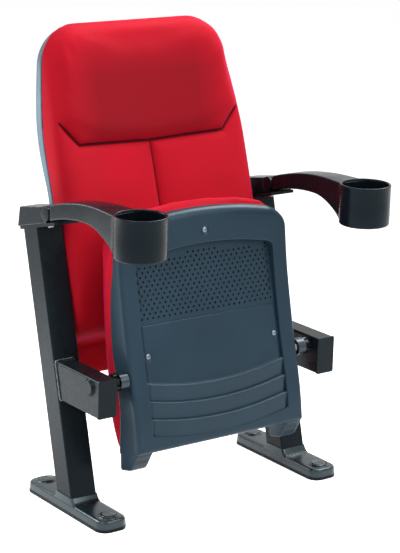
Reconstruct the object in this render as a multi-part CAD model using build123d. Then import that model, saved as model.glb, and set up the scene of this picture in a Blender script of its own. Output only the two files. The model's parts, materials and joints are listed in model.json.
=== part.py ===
from build123d import *
import os
from math import asin, atan2, cos, degrees, radians, sin, tan

# Tip-up auditorium seat. Origin: on the floor, in the middle of the four floor bolts.
# X to the right as seen from the front, the seat faces -Y, +Z up. All sizes in mm.

# ---- shared clearances ----
seat_gap = 0.3            # between a piece and its seat
run_gap = 0.05            # radial clearance of pins and screws in their holes
slack = 60.0              # how far a cutting solid stands past what it cuts
shank_sides = 8           # hidden screw shanks and their holes are many-sided
head_sides = 12           # small round heads and caps

# ---- feet ----
leg_pitch = 560.0         # between the centre planes of the two legs
bolt_spacing = 243.0      # front to back between the floor bolts of one foot
bolt_hole_r = 5.5
foot_length = 302.0
foot_width = 71.0
foot_corner = 24.0
plate_t = 6.0             # steel base plate
cover_top = 24.5          # top of the moulded foot cover above the floor
cover_step = 1.0          # how far the cover stands in from the plate's edge
cover_wall = 3.0
cover_edge = 4.5          # chamfer round the cover's top
cavity_corner = 12.0      # straight corners of the cover's hollow
cap_r = 17.0
cap_t = 2.4
cap_sides = 24            # flats round a cap
cap_stem = 17.0           # side of the cap's square stem
boot_rise = 13.0          # moulded boot round the foot of the leg
boot_foot = 8.0           # how far its foot stands out in front of the leg
boot_lip = 2.5            # how far its upper edge stands out
boot_side = 1.6

# ---- legs ----
leg_w = 62.5
leg_d = 58.0
leg_wall = 3.0
leg_round = 4.0
leg_lean = 14.3           # degrees back from upright
leg_base_y = -9.0         # where the leg's centre line meets the floor
leg_len = 602.0           # along the centre line, floor to head plate

# ---- head plate and fixed block of the armrest, (y, z) in the head plate's own frame ----
head_tilt = 15.0
head_t = 7.0
head_front = 104.5        # from the leg's centre line, along the plate
head_back = 44.5
head_w = 63.0
head_offset = 0.5         # the plate's middle, outwards from the leg's
head_corner = 5.0
arm_offset = 8.4          # an armrest's centre plane, outwards from the leg's
arm_w = 50.3
block_back_low = 47.5
block_back_high = 28.5
block_h = 48.0
block_edge = 3.5
ear_t = 6.0
screw_r = 3.5
screw_head_r = 6.5
screw_head_h = 3.5
block_screw_y = (-46.0, 37.0)
block_screw_depth = 12.0

# ---- lifting arm and cup ----
hinge_forward = 71.15     # hinge axis in the head plate's frame
hinge_up = 26.65
ear_r = 15.5
shoulder = 16.3           # from the hinge axis to the arm's full width
tongue_drop = 12.5        # how far the arm's tongue reaches below the hinge axis
arm_pin_r = 4.0
hinge_cap_r = 6.0
hinge_cap_t = 0.8
arm_edge = 4.0

# points of the arm as (y, z) from the hinge axis, with the arm down
arm_top_rear = 21.0
arm_top_mid = (-115.0, 45.5)
arm_top_front = (-210.0, 53.5)
arm_low_rear = -13.0
arm_low_mid = (-99.0, 6.5)
arm_low_front = (-156.0, 10.5)
arm_bend_end = (-253.0, -27.5)   # where the underside runs into the cup
arm_bend_out = 11.0       # how far the underside's bend bulges from straight
flare_at = -116.0         # where the arm starts to widen
crease_at = -267.0        # where it meets the cup
crease_w = 77.0
cup_at = -306.0
cup_inward = 3.6          # the cup's middle, inwards of the arm's
cup_r = 53.5
cup_wall = 4.6
cup_floor = 4.0
cup_foot = -29.5          # underside of the cup
cup_rim = 57.5
cup_edge = 4.0
buffer_len = 14.0
buffer_w = 30.0
buffer_inset = 2.0        # from the head plate's front edge

# ---- seat brackets and pivots ----
bracket_w = 44.0
bracket_h = 80.0
bracket_low = 239.0
bracket_front = -118.0
bracket_offset = 16.5     # inner face of a bracket, inwards from the leg's middle
bracket_wall = 3.0
bracket_round = 4.0
end_t = 4.0
end_proud = 0.6
pivot_y = -89.0
pivot_z = 299.0
pin_r = 7.0
pin_end = 203.0
pivot_cap_r = 19.0
pivot_cap_h = 6.0
pivot_cap_top_r = 14.0
collar_in = 222.0
collar_len = 20.0
collar_r = 19.0
bush_r = 11.0
stop_pin_r = 3.0
stop_pin_at = 15.0        # from the pivot axis
stop_pin_end = 252.5
quadrant_in = 244.0
quadrant_t = 10.0
quadrant_boss_r = 11.5
seat_travel = 90.0        # degrees from tipped up to down

# ---- seat pan, in its own frame: x, u up the panel, v out of its face ----
pan_lean = 13.93
pan_w = 218.0             # half width
pan_bottom = -158.0
pan_top = 325.0
pan_shoulder = 301.0      # height of the top edge at the corners
pan_corner = 52.0
pan_wall = 4.0
panel_v = 11.0
panel_w = 178.0           # half width of the recessed panel
panel_top = 258.0
panel_shoulder = 238.0
panel_corner = 14.0
face_line = ((-164.0, 9.0), (-120.0, 15.0), (60.0, 16.0), (200.0, 24.0), (285.0, 35.5))
face_roll = ((317.0, 31.0), (326.0, 6.0))       # the face's roll-over at the top
rim_line = ((243.0, 1.0), (184.0, -19.0), (91.0, -38.0), (-80.0, -41.0), (-152.0, -59.0))
mesh_low = 104.5          # lower edge of the perforated field
mesh_drop = 1.2
step_count = 3
step_first = -32.6
step_pitch = 36.7
step_centre = 737.4       # the steps curve about a point far up the panel
step_rise = 7.0
horn_in = 176.0           # inner face of the rear horns
horn_low = -193.0
horn_front = -27.0
horn_back = -67.0
shell_screw_spots = ((0.0, 284.6), (-165.0, 40.6), (165.0, 40.6))
spot_r = 9.0              # flat seat under each screw head
spot_depth = 1.0
boss_r = 8.5
board_front = -22.0
board_t = 10.0
board_w = 203.0
board_low = -148.0
board_top = 300.0
board_shoulder = 270.0
board_corner = 40.0
hinge_plate_t = 5.0
hinge_plate_half = 118.0
hinge_plate_crest = 29.5  # half length of its raised upper edge
hinge_plate_lift = 10.0   # rise of its upper edge over the bush
cross_tube_w = 20.0       # square tube
cross_tube_wall = 2.0
cross_tube_spots = ((-72.0, -9.5), (112.0, -9.5))
weight_start = -151.0
weight_gap = 0.5
weight_head = 22.0        # length of its thick upper part
weight_step = 18.0        # how far this stands out in front of the horn's front edge
weight_front = 3.0        # clearance inside the horn's front and back walls
weight_back = 7.0

# ---- seat cushion, in the pan's frame ----
cushion_w = 216.0
cushion_low = -152.0
cushion_top = 352.0
cushion_shoulder = 319.0
cushion_corner = 72.0
nose_tip = (352.0, -16.0)
nose_under = (345.0, 1.0)
nose_bulge = (343.0, -41.0)
sitting_front = (322.0, -54.0)
sitting_mid = (134.0, -91.5)
sitting_rear = (-87.0, -104.0)
tail_bulge = (-132.0, -93.0)
tail_end = (-151.0, -62.0)
crown_rise = 12.0         # the sitting face's middle above its sides
crown_half = 190.0
crown_lift = 3.0          # the sitting face's sides above its chord
crown_corner = 6.9        # the rounding's middle, in from the cushion's corner
cushion_edge = 26.0       # depth of the rounding beside the crown
cushion_drawn = 8.0       # how far the sides draw in towards the rim
plug_low = (-145.0, -60.0)   # lower rear part that fills the shell behind the board
plug_high = (120.0, -40.0)
plug_inset = 2.0

# ---- backrest, points as (y, z) ----
back_w = 243.2            # half width
back_low = 300.0
back_knee = 760.0
back_knee_r = 600.0
back_top = 990.0
back_top_w = 208.0
back_corner = 86.0
back_low_corner = 34.0
cover_inset = 0.6         # the cushion's outline inside the shell's
back_front_low = (104.0, 645.0)
back_front_high = (208.0, 968.0)
lumbar_bulge = (70.0, 493.0)
lumbar_low = (61.0, 400.0)
back_foot = ((66.0, 362.0), (83.0, 341.0))    # the rounding under the lumbar part
back_heel = ((119.5, 326.0), (119.5, 306.0))  # clear of the tipping seat's horns
back_head_bulge = (232.0, 988.0)
join_low = (129.0, 300.0)  # the joint between cushion and shell
join_knee = (121.5, 372.0)
join_bend = (137.0, 570.0)
join_high = (262.0, 981.0)
back_round = 14.0         # depth of the rounding along the sides
back_shoulder = 18.0      # its width
dish = 18.0
seam_w = 4.0
seam_depth = 7.0
seam_side = (236.0, 799.0)     # (x, z) of the channel's outer end
seam_turn = (186.0, 747.0)
seam_mid_z = 740.0
back_board_t = 10.0
back_board_inset = 12.0
back_board_top = 930.0
shell_t = 3.5
shell_drop = 6.0          # how far the shell stays below the cushion's top
shell_rear_low = (143.6, 300.0)
shell_rear_bend = (165.0, 570.0)
shell_rear_swell = (200.0, 700.0)
shell_rear_head = (268.0, 940.0)
shell_rear_top = (275.0, 1000.0)
hanger_t = 4.0
hanger_low = 470.0
hanger_high = 560.0
hanger_in = 205.0
hanger_bolt_x = 221.0
hanger_bolt_z = (492.0, 538.0)
hanger_bolt_r = 4.0
hanger_grip = 26.0        # from the shell's rear face to a bolt's tip
hanger_head_r = 7.5
hanger_head_h = 4.0
hanger_pad = 10.0         # how far the shell's inner pad reaches about a bolt

leg_x = leg_pitch / 2
arm_x = leg_x + arm_offset
cup_x = arm_x - cup_inward
bracket_in = leg_x - bracket_offset
leg_dir = Vector(0, sin(radians(leg_lean)), cos(radians(leg_lean)))
leg_frame = Plane(origin=(leg_x, leg_base_y, 0), x_dir=(1, 0, 0), z_dir=leg_dir)
head_origin = Vector(0, leg_base_y, 0) + leg_dir * leg_len
head_up = (0, sin(radians(head_tilt)), cos(radians(head_tilt)))
head_frame = Plane(origin=head_origin, x_dir=(1, 0, 0), z_dir=head_up)
hinge = head_frame.from_local_coords(Vector(0, -hinge_forward, hinge_up))
hinge_y, hinge_z = hinge.Y, hinge.Z
cup_y = hinge_y + cup_at
pan_out = (0, -cos(radians(pan_lean)), sin(radians(pan_lean)))
pan_frame = Plane(origin=(0, pivot_y, pivot_z), x_dir=(1, 0, 0), z_dir=pan_out)
bracket_out = bracket_in + bracket_w
upwards = (Align.CENTER, Align.CENTER, Align.MIN)


def block(x0, x1, y0, y1, z0, z1):
    """A box between two corners."""
    return Pos((x0 + x1) / 2, (y0 + y1) / 2, (z0 + z1) / 2) * Box(x1 - x0, y1 - y0, z1 - z0)


def rod(x0, x1, y, z, radius):
    """A round bar along X."""
    return Pos((x0 + x1) / 2, y, z) * Rot(0, 90, 0) * Cylinder(radius, x1 - x0)


def taper(x0, x1, y, z, r0, r1):
    """A round taper along X, from radius r0 at x0 to r1 at x1."""
    return Pos((x0 + x1) / 2, y, z) * Rot(0, 90, 0) * Cone(r0, r1, x1 - x0)


def prism(face, x0, x1):
    """A YZ face run along X from x0 to x1."""
    return Pos(x0, 0, 0) * extrude(face, x1 - x0)


def side_face(*edges):
    """A closed YZ face from edges drawn as (y, z)."""
    return Plane.YZ * make_face(Curve() + list(edges))


def shank(radius, length, sides=shank_sides):
    """A many-sided bar standing on the XY plane."""
    return extrude(RegularPolygon(radius, sides), length)


def keyed_rod(x0, x1, radius, sides=shank_sides):
    """A many-sided bar on the pivot axis, from x0 to x1."""
    return Pos(x0, pivot_y, pivot_z) * Rot(0, 90, 0) * shank(radius, x1 - x0, sides)


def polygon_yz(*points):
    """A YZ face with straight sides."""
    return Plane.YZ * make_face(Polyline(*points, close=True))


def shifted(points, dy, dz=0.0):
    """The (y, z) points moved by dy and dz."""
    return [(y + dy, z + dz) for y, z in points]


def mirrored(shape):
    return mirror(shape, about=Plane.YZ)


def both_sides(shapes):
    """Right-hand solids and their mirror images, as one group."""
    return Compound(children=list(shapes) + [mirrored(shape) for shape in shapes])


# ---------------------------------------------------------------- feet and legs


def leg_y(z):
    """Where the leg's centre line is at height z."""
    return leg_base_y + tan(radians(leg_lean)) * z


def leg_solid(grow):
    """The leg's outside, made thicker all round by grow, running past both ends."""
    section = RectangleRounded(leg_w + 2 * grow, leg_d + 2 * grow, leg_round + grow)
    return leg_frame.location * Pos(0, 0, -slack) * extrude(section, leg_len + 2 * slack)


def leg_tube():
    """Rectangular steel tube, cut level on the base plate and square to the head plate."""
    inner = Rectangle(leg_w - 2 * leg_wall, leg_d - 2 * leg_wall)
    bore = leg_frame.location * Pos(0, 0, -slack) * extrude(inner, leg_len + 2 * slack)
    tube = leg_solid(0) - bore
    tube -= block(0, leg_pitch, -2 * slack, 2 * slack, -2 * slack, plate_t)
    return tube - head_frame.location * block(0, leg_pitch, -2 * slack, 2 * slack, 0, 3 * slack)


def foot_outline(step):
    """The foot's plan, standing in by step all round."""
    return RectangleRounded(foot_width - 2 * step, foot_length - 2 * step, foot_corner - step)


def bolt_spots():
    return [Pos(leg_x, side * bolt_spacing / 2, 0) for side in (-1, 1)]


def base_plate():
    """Steel plate on the floor, with a hole for each floor bolt."""
    plate = Pos(leg_x, 0, 0) * extrude(foot_outline(0), plate_t)
    for spot in bolt_spots():
        plate -= spot * Cylinder(bolt_hole_r, 4 * plate_t)
    return plate


def leg_boot():
    """The cover's boot: a short skirt that follows the leaning leg."""
    span = leg_d / cos(radians(leg_lean))
    width = leg_w + 2 * boot_side
    sections = []
    for z, out in ((cover_top - cover_wall, boot_foot), (cover_top + boot_rise, boot_lip)):
        plan = Rectangle(width, span + 2 * out)
        sections.append(Pos(leg_x, leg_y(z), z) * chamfer(plan.vertices(), leg_round))
    return loft(sections, ruled=True)


def foot_cover():
    """Moulded cover over the plate, open below, with a boot round the leg."""
    rise = cover_top - plate_t
    outer = extrude(foot_outline(cover_step), rise)
    outer = chamfer(outer.faces().sort_by(Axis.Z)[-1].edges(), cover_edge)
    inset = 2 * (cover_step + cover_wall)
    plan = Rectangle(foot_width - inset, foot_length - inset)
    inner = extrude(chamfer(plan.vertices(), cavity_corner), rise - cover_wall)
    cover = Pos(leg_x, 0, plate_t) * (outer - inner)
    cover += leg_boot()
    cover -= leg_solid(seat_gap)
    hole = cap_stem + 2 * run_gap
    for spot in bolt_spots():
        cover -= spot * Pos(0, 0, cover_top) * Box(hole, hole, 3 * cover_wall)
    return cover


def floor_bolt_caps():
    """Round press-in caps over the four floor bolts."""
    disc = Pos(0, 0, cover_top) * shank(cap_r, cap_t, cap_sides)
    stem = Pos(0, 0, cover_top - cover_wall) * Box(cap_stem, cap_stem, cover_wall, align=upwards)
    return both_sides([spot * (disc + stem) for spot in bolt_spots()])


# ---------------------------------------------------------------- head plate and block


def head_plate():
    """Steel plate welded on the leg, which carries the armrest and stops its fall."""
    x0 = leg_x + head_offset - head_w / 2
    plate = block(x0, x0 + head_w, -head_front, head_back, 0, head_t)
    plate = chamfer(plate.edges().filter_by(Axis.Z), head_corner)
    for y in block_screw_y:
        plate -= Pos(arm_x, y, -head_t) * shank(screw_r + run_gap, 3 * head_t)
    return head_frame.location * plate


def armrest_block():
    """Moulded block on the head plate, with two ears that hold the arm's hinge pin."""
    hy, hz = -hinge_forward, hinge_up
    side = polygon_yz(
        (hy, head_t), (block_back_low, head_t), (block_back_high, block_h), (hy, hz + ear_r)
    )
    x0 = arm_x - arm_w / 2
    body = prism(side, x0, x0 + arm_w)
    body = chamfer(body.edges().filter_by(Axis.X).sort_by(Axis.Y)[-2:], block_edge)
    top = body.faces().sort_by(Axis.Z)[-1]
    body = chamfer(top.edges().filter_by(Axis.X, reverse=True), block_edge)
    body += rod(x0, x0 + arm_w, hy, hz, ear_r)
    slot_half = arm_w / 2 - ear_t
    body -= rod(arm_x - slot_half, arm_x + slot_half, hy, hz, ear_r + seat_gap)
    body -= rod(x0 - slack, x0 + slack + arm_w, hy, hz, arm_pin_r + run_gap)
    for y in block_screw_y:
        body -= Pos(arm_x, y, 0) * shank(screw_r + run_gap, head_t + block_screw_depth + 1)
    return head_frame.location * body


def block_screws():
    """Two screws up through each head plate into the block."""
    screws = []
    for y in block_screw_y:
        length = screw_head_h + head_t + block_screw_depth
        screw = shank(screw_r, length) + shank(screw_head_r, screw_head_h, 6)
        screws.append(head_frame.location * Pos(arm_x, y, -screw_head_h) * screw)
    return both_sides(screws)


# ---------------------------------------------------------------- lifting arm


def bulged(start, end, out):
    """A point beside the middle of a straight run, out to its right-hand side."""
    run = Vector(end[0] - start[0], end[1] - start[1])
    middle = Vector((start[0] + end[0]) / 2, (start[1] + end[1]) / 2)
    return middle + Vector(run.Y, -run.X).normalized() * out


def arm_side(drop):
    """The arm's side view, moved down by drop, from the shoulder to past the cup's middle."""
    top = [(-shoulder, arm_top_rear), arm_top_mid, arm_top_front, (cup_at, arm_top_front[1])]
    low = [(-shoulder, arm_low_rear), arm_low_mid, arm_low_front, arm_bend_end, (cup_at, arm_bend_end[1])]
    rear_top, mid_top, front_top, past_top = shifted(top, hinge_y, hinge_z - drop)
    rear_low, mid_low, front_low, bend_end, past_low = shifted(low, hinge_y, hinge_z - drop)
    return side_face(
        ThreePointArc(rear_top, mid_top, front_top),
        Line(front_top, past_top),
        Line(past_top, past_low),
        Line(past_low, bend_end),
        ThreePointArc(bend_end, bulged(front_low, bend_end, -arm_bend_out), front_low),
        ThreePointArc(front_low, mid_low, rear_low),
        Line(rear_low, rear_top),
    )


def arm_plan():
    """The arm's plan about the hinge: parallel at the back, then widening to the cup."""
    half, wide = arm_w / 2, crease_w / 2
    edges = [Line((-half, -shoulder), (half, -shoulder)), Line((-wide, cup_at), (wide, cup_at))]
    for s in (-1, 1):
        edges.append(Line((s * half, -shoulder), (s * half, flare_at)))
        edges.append(TangentArc((s * half, flare_at), (s * wide, crease_at), tangent=(0, -1)))
        edges.append(Line((s * wide, crease_at), (s * wide, cup_at)))
    return make_face(Curve() + edges)


def long_arm_edges(body):
    """The four rows of edges that run along the arm, behind the cup."""
    rows = []
    for edge in body.edges():
        middle = edge.center()
        runs_along = abs(edge.tangent_at(0.5).Y) > 0.2 and edge.length > 20
        if runs_along and abs(middle.X - arm_x) > 5 and middle.Y > hinge_y + crease_at:
            rows.append(edge)
    return rows


def arm():
    """Moulded arm with its cup holder in front and its hinge barrel at the back."""
    slab = prism(arm_side(0), arm_x - crease_w, arm_x + crease_w)
    low = hinge_z + cup_foot
    body = slab & Pos(arm_x, hinge_y, low - slack) * extrude(arm_plan(), 4 * slack)
    body = chamfer(long_arm_edges(body), arm_edge)
    cup = Pos(cup_x, cup_y, low) * Cylinder(cup_r, cup_rim - cup_foot, align=upwards)
    body += chamfer(cup.edges().sort_by(Axis.Z)[0], cup_edge)
    hollow = Cylinder(cup_r - cup_wall, cup_rim - cup_foot, align=upwards)
    body -= Pos(cup_x, cup_y, low + cup_floor) * hollow
    half = arm_w / 2 - ear_t - seat_gap
    body += rod(arm_x - half, arm_x + half, hinge_y, hinge_z, ear_r)
    y0 = hinge_y - shoulder - arm_edge
    body += block(arm_x - half, arm_x + half, y0, hinge_y, hinge_z - tongue_drop, hinge_z)
    return body - rod(arm_x - arm_w, arm_x + arm_w, hinge_y, hinge_z, arm_pin_r + run_gap)


def arm_pins():
    return both_sides([rod(arm_x - arm_w / 2, arm_x + arm_w / 2, hinge_y, hinge_z, arm_pin_r)])


def arm_hinge_caps():
    """A thin cap over each end of each arm's hinge pin."""
    caps = []
    for x in (arm_x - arm_w / 2 - hinge_cap_t, arm_x + arm_w / 2):
        caps.append(Pos(x, hinge_y, hinge_z) * Rot(0, 90, 0) * shank(hinge_cap_r, hinge_cap_t))
    return both_sides(caps)


def arm_buffer():
    """Rubber pad on the head plate, on which the lowered arm rests."""
    x0 = arm_x - buffer_w / 2
    y0 = buffer_inset - head_front
    pad = block(x0, x0 + buffer_w, y0, y0 + buffer_len, head_t, 3 * head_t)
    reach = prism(arm_side(seat_gap), arm_x - arm_w, arm_x + arm_w)
    pad = head_frame.location * pad - reach
    return pad.solids().sort_by(Axis.Z)[0]


# ---------------------------------------------------------------- seat brackets and pivots


def bracket():
    """Box tube welded to the front of the leg."""
    section = RectangleRounded(bracket_w, bracket_h, bracket_round)
    section -= Rectangle(bracket_w - 2 * bracket_wall, bracket_h - 2 * bracket_wall)
    middle = (bracket_in + bracket_w / 2, bracket_front, bracket_low + bracket_h / 2)
    start = Plane(origin=middle, x_dir=(1, 0, 0), z_dir=(0, 1, 0))
    tube = start.location * extrude(section, leg_y(bracket_low + bracket_h) - bracket_front)
    tube -= leg_solid(0)
    tube = tube.solids().sort_by(Axis.Y)[0]
    return tube - rod(bracket_in - slack, bracket_out + slack, pivot_y, pivot_z, pin_r + run_gap)


def bracket_end():
    """Steel plate that closes the front of the bracket."""
    plate = Box(bracket_w + 2 * end_proud, end_t, bracket_h + 2 * end_proud)
    plate = chamfer(plate.edges().filter_by(Axis.Y), bracket_round / 2)
    middle = Pos(bracket_in + bracket_w / 2, bracket_front - end_t / 2, bracket_low + bracket_h / 2)
    return middle * plate


def pivot_pins():
    return both_sides([rod(pin_end, bracket_out, pivot_y, pivot_z, pin_r)])


def pivot_caps():
    """A low cap over the outer end of each pivot pin."""
    top = bracket_out + pivot_cap_h
    return both_sides([taper(bracket_out, top, pivot_y, pivot_z, pivot_cap_r, pivot_cap_top_r)])


def sector(first, sweep, radius):
    """A YZ pie slice about the pivot, its angles counted from +Y towards +Z."""
    tip = (pivot_y, pivot_z)
    arc = CenterArc(tip, radius, first, sweep)
    return side_face(Line(tip, arc @ 0), arc, Line(arc @ 1, tip))


def stop_quadrants():
    """Discs on the brackets, cut away to stop the seat at both ends of its travel."""
    end = quadrant_in + quadrant_t
    disc = keyed_rod(quadrant_in, end, collar_r, cap_sides)
    boss = keyed_rod(end, bracket_in, quadrant_boss_r)
    pin_angle = degrees(asin((stop_pin_r + seat_gap) / stop_pin_at))
    cut = sector(90 - pin_angle, seat_travel + 2 * pin_angle, slack)
    cut = prism(cut, quadrant_in - 1, end)
    cut -= rod(quadrant_in - 2, end + 1, pivot_y, pivot_z, stop_pin_at - stop_pin_r - seat_gap)
    bore = rod(quadrant_in - slack, bracket_in + slack, pivot_y, pivot_z, pin_r + run_gap)
    return both_sides([disc + boss - cut - bore])


def pivot_bushes():
    """Nylon bushes, keyed in the seat by their sides, running on the pivot pins."""
    outer = keyed_rod(pin_end, collar_in + collar_len, bush_r)
    return both_sides([outer - rod(0, leg_x, pivot_y, pivot_z, pin_r + run_gap)])


def hub_collars():
    """Steel collars over the bushes, outside the shell."""
    ring = rod(collar_in, collar_in + collar_len, pivot_y, pivot_z, collar_r)
    return both_sides([ring - keyed_rod(0, leg_pitch, bush_r + run_gap)])


def stop_pins():
    """Pins welded on the collars, which run in the cut-outs of the stop quadrants."""
    start = collar_in + collar_len
    pin = Pos(start, pivot_y, pivot_z + stop_pin_at) * Rot(0, 90, 0) * shank(stop_pin_r, stop_pin_end - start)
    return both_sides([pin])


# ---------------------------------------------------------------- seat pan


def arched_outline(half, low, shoulder_u, top, corner):
    """A face in x and u: straight foot and sides, an arched top and round top corners."""
    sides = Polyline((-half, shoulder_u), (-half, low), (half, low), (half, shoulder_u))
    crown = ThreePointArc((-half, shoulder_u), (0, top), (half, shoulder_u))
    face = make_face(Curve() + [sides, crown])
    return fillet(face.vertices().sort_by(Axis.Y)[-2:], corner)


def pan_side():
    """The pan's side view, (u, v): swelling face, roll-over at the top, rim and horns."""
    face = Spline(*face_line)
    roll = ThreePointArc(face_line[-1], face_roll[0], face_roll[1])
    horn = [(horn_low + pan_wall, horn_back), (horn_low, horn_front)]
    rim = Polyline(face_roll[1], *rim_line, *horn, face_line[0])
    return side_face(face, roll, rim)


def pan_hollow():
    """The shell's inside in side view, one wall behind its face."""
    inner = shifted(face_line[1:], 0, -pan_wall)
    foot_u, foot_v = face_line[0][0] + pan_wall / 2, panel_v - 2 * pan_wall
    low_u = horn_low + pan_wall + 1
    top_u, top_v = face_roll[0]
    return polygon_yz(
        (low_u, foot_v - (foot_u - low_u)),
        (foot_u, foot_v),
        *inner,
        (top_u - 2 * pan_wall, top_v - 2 * pan_wall),
        (pan_top, panel_v - 2 * pan_wall),
        (pan_top, -3 * slack),
        (low_u, -3 * slack),
    )


def pan_plan(inset):
    """The pan with its two rear horns in x and u, standing in by inset."""
    plan = arched_outline(
        pan_w - inset, pan_bottom + inset, pan_shoulder - inset, pan_top - inset, pan_corner - inset
    )
    width = pan_w - horn_in
    horn = Rectangle(width - 2 * inset, pan_bottom - horn_low + slack / 2, align=(Align.CENTER, Align.MIN))
    for s in (-1, 1):
        plan += Pos(s * (horn_in + width / 2), horn_low - pan_wall + inset) * horn
    return plan


def panel_window():
    """The recessed panel's outline, ending below in the curve of the steps."""
    window = arched_outline(panel_w, horn_low, panel_shoulder, panel_top, panel_corner)
    foot_r = step_centre - step_first + step_count * step_pitch
    return window & Pos(0, step_centre) * Circle(foot_r)


def shell_steps():
    """Clapboard steps across the foot of the panel, turned about a far centre above."""
    axis = Axis((0, step_centre, 0), (0, 0, 1))
    keep = block(-panel_w, panel_w, -3 * slack, mesh_low, panel_v - pan_wall / 2, panel_v + slack)
    root = panel_v - 1
    steps = []
    for i in range(step_count):
        high = step_first - i * step_pitch
        low = high - step_pitch
        tooth = polygon_yz((high, root), (high, panel_v + step_rise), (low, panel_v), (low, root))
        steps.append(revolve(tooth, axis, 30).rotate(axis, -15) & keep)
    return steps


def screw_seat(u):
    """How far out of the pan the flat seat of a shell screw lies."""
    face = face_line[-1][1] if u > panel_top else panel_v
    return face - spot_depth


def screw_boss(x, u):
    """Boss inside the shell, from the seat board to just under the screw head."""
    start = board_front + seat_gap
    return Pos(x, u, start) * shank(boss_r, screw_seat(u) - spot_depth - start)


def seat_shell():
    """Moulded outer shell of the tip-up seat, with its recessed panel, steps and rear horns."""
    body = extrude(pan_plan(0), slack * 2, both=True) & prism(pan_side(), -pan_w - 5, pan_w + 5)
    void = extrude(pan_plan(pan_wall), slack * 2, both=True) & prism(pan_hollow(), -pan_w, pan_w)
    backing = arched_outline(
        panel_w + pan_wall, pan_bottom, panel_shoulder + pan_wall, panel_top + pan_wall, panel_corner
    )
    void -= Pos(0, 0, panel_v - pan_wall) * extrude(backing, slack)
    body -= void
    window = panel_window()
    body -= Pos(0, 0, panel_v) * extrude(window, slack)
    above = Pos(0, mesh_low) * Rectangle(3 * panel_w, pan_top, align=(Align.CENTER, Align.MIN))
    body -= Pos(0, 0, panel_v - mesh_drop) * extrude(window & above, slack)
    for step in shell_steps():
        body += step
    for x, u in shell_screw_spots:
        body += screw_boss(x, u)
        body -= Pos(x, u, screw_seat(u)) * shank(spot_r, slack, head_sides)
        body -= Pos(x, u, -slack) * shank(screw_r + run_gap, 2 * slack)
    body = pan_frame.location * body
    bore = keyed_rod(pan_w / 2, pan_w + slack, bush_r + seat_gap)
    return body - bore - mirrored(bore)


def shell_screws():
    """Three low-headed screws that hold the shell to the seat board."""
    screws = []
    for x, u in shell_screw_spots:
        seat = screw_seat(u)
        tip = board_front - board_t + 1
        head = Pos(0, 0, seat) * shank(screw_head_r, screw_head_h, head_sides)
        body = Pos(0, 0, tip) * shank(screw_r, seat - tip)
        screws.append(pan_frame.location * Pos(x, u, 0) * (head + body))
    return Compound(children=screws)


def board_outline(grow, low):
    return arched_outline(
        board_w + grow, low, board_shoulder + grow, board_top + grow, board_corner
    )


def seat_board():
    """Plywood board under the cushion."""
    board = Pos(0, 0, board_front - board_t) * extrude(board_outline(0, board_low), board_t)
    for x, u in shell_screw_spots:
        board -= Pos(x, u, -slack) * shank(screw_r + run_gap, 2 * slack)
    return pan_frame.location * board


def hinge_plate():
    """Steel plate inside the shell's side, which carries the bush and the cross tubes."""
    x1 = pan_w - pan_wall - seat_gap
    half = hinge_plate_half
    low = board_front + seat_gap
    high = panel_v - 3 * pan_wall
    side = polygon_yz(
        (-half, high),
        (-half, low),
        (half, low),
        (half, high),
        (hinge_plate_crest, high + hinge_plate_lift),
        (-hinge_plate_crest, high + hinge_plate_lift),
    )
    plate = pan_frame.location * prism(side, x1 - hinge_plate_t, x1)
    return plate - keyed_rod(0, leg_x, bush_r + run_gap)


def cross_tubes():
    """Two square steel tubes that join the hinge plates."""
    reach = 2 * (pan_w - pan_wall - seat_gap - hinge_plate_t)
    bore = cross_tube_w - 2 * cross_tube_wall
    tubes = []
    for u, v in cross_tube_spots:
        tube = Box(reach, cross_tube_w, cross_tube_w) - Box(reach, bore, bore)
        tubes.append(pan_frame.location * Pos(0, u, v) * tube)
    return Compound(children=tubes)


def counterweight():
    """Cast weight in a rear horn, which tips the empty seat up."""
    inset = pan_wall + weight_gap
    low = horn_low + pan_wall + 1 + weight_gap
    shoulder_v = horn_front + weight_step
    side = polygon_yz(
        (weight_start, shoulder_v),
        (weight_start - weight_head, shoulder_v),
        (low, horn_front + weight_front),
        (low, horn_back + weight_back),
        (weight_start, horn_back + 2 * weight_back),
    )
    return pan_frame.location * prism(side, horn_in + inset, pan_w - inset)


def crown_profile():
    """The cushion across its width: crowned middle, rounded edges, drawn-in sides."""
    w, half = cushion_w, crown_half
    top = crown_rise + crown_lift
    foot = -2 * slack
    edges = [ThreePointArc((-half, crown_lift), (0, top), (half, crown_lift)), Line((-w, foot), (w, foot))]
    for s in (-1, 1):
        edge_mid = (s * (w - crown_corner), -crown_corner)
        edges.append(ThreePointArc((s * half, crown_lift), edge_mid, (s * w, -cushion_edge)))
        edges.append(Line((s * w, -cushion_edge), (s * (w - cushion_drawn), foot)))
        edges.append(Line((s * (w - cushion_drawn), foot), (s * w, foot)))
    return make_face(Curve() + edges)


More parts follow.
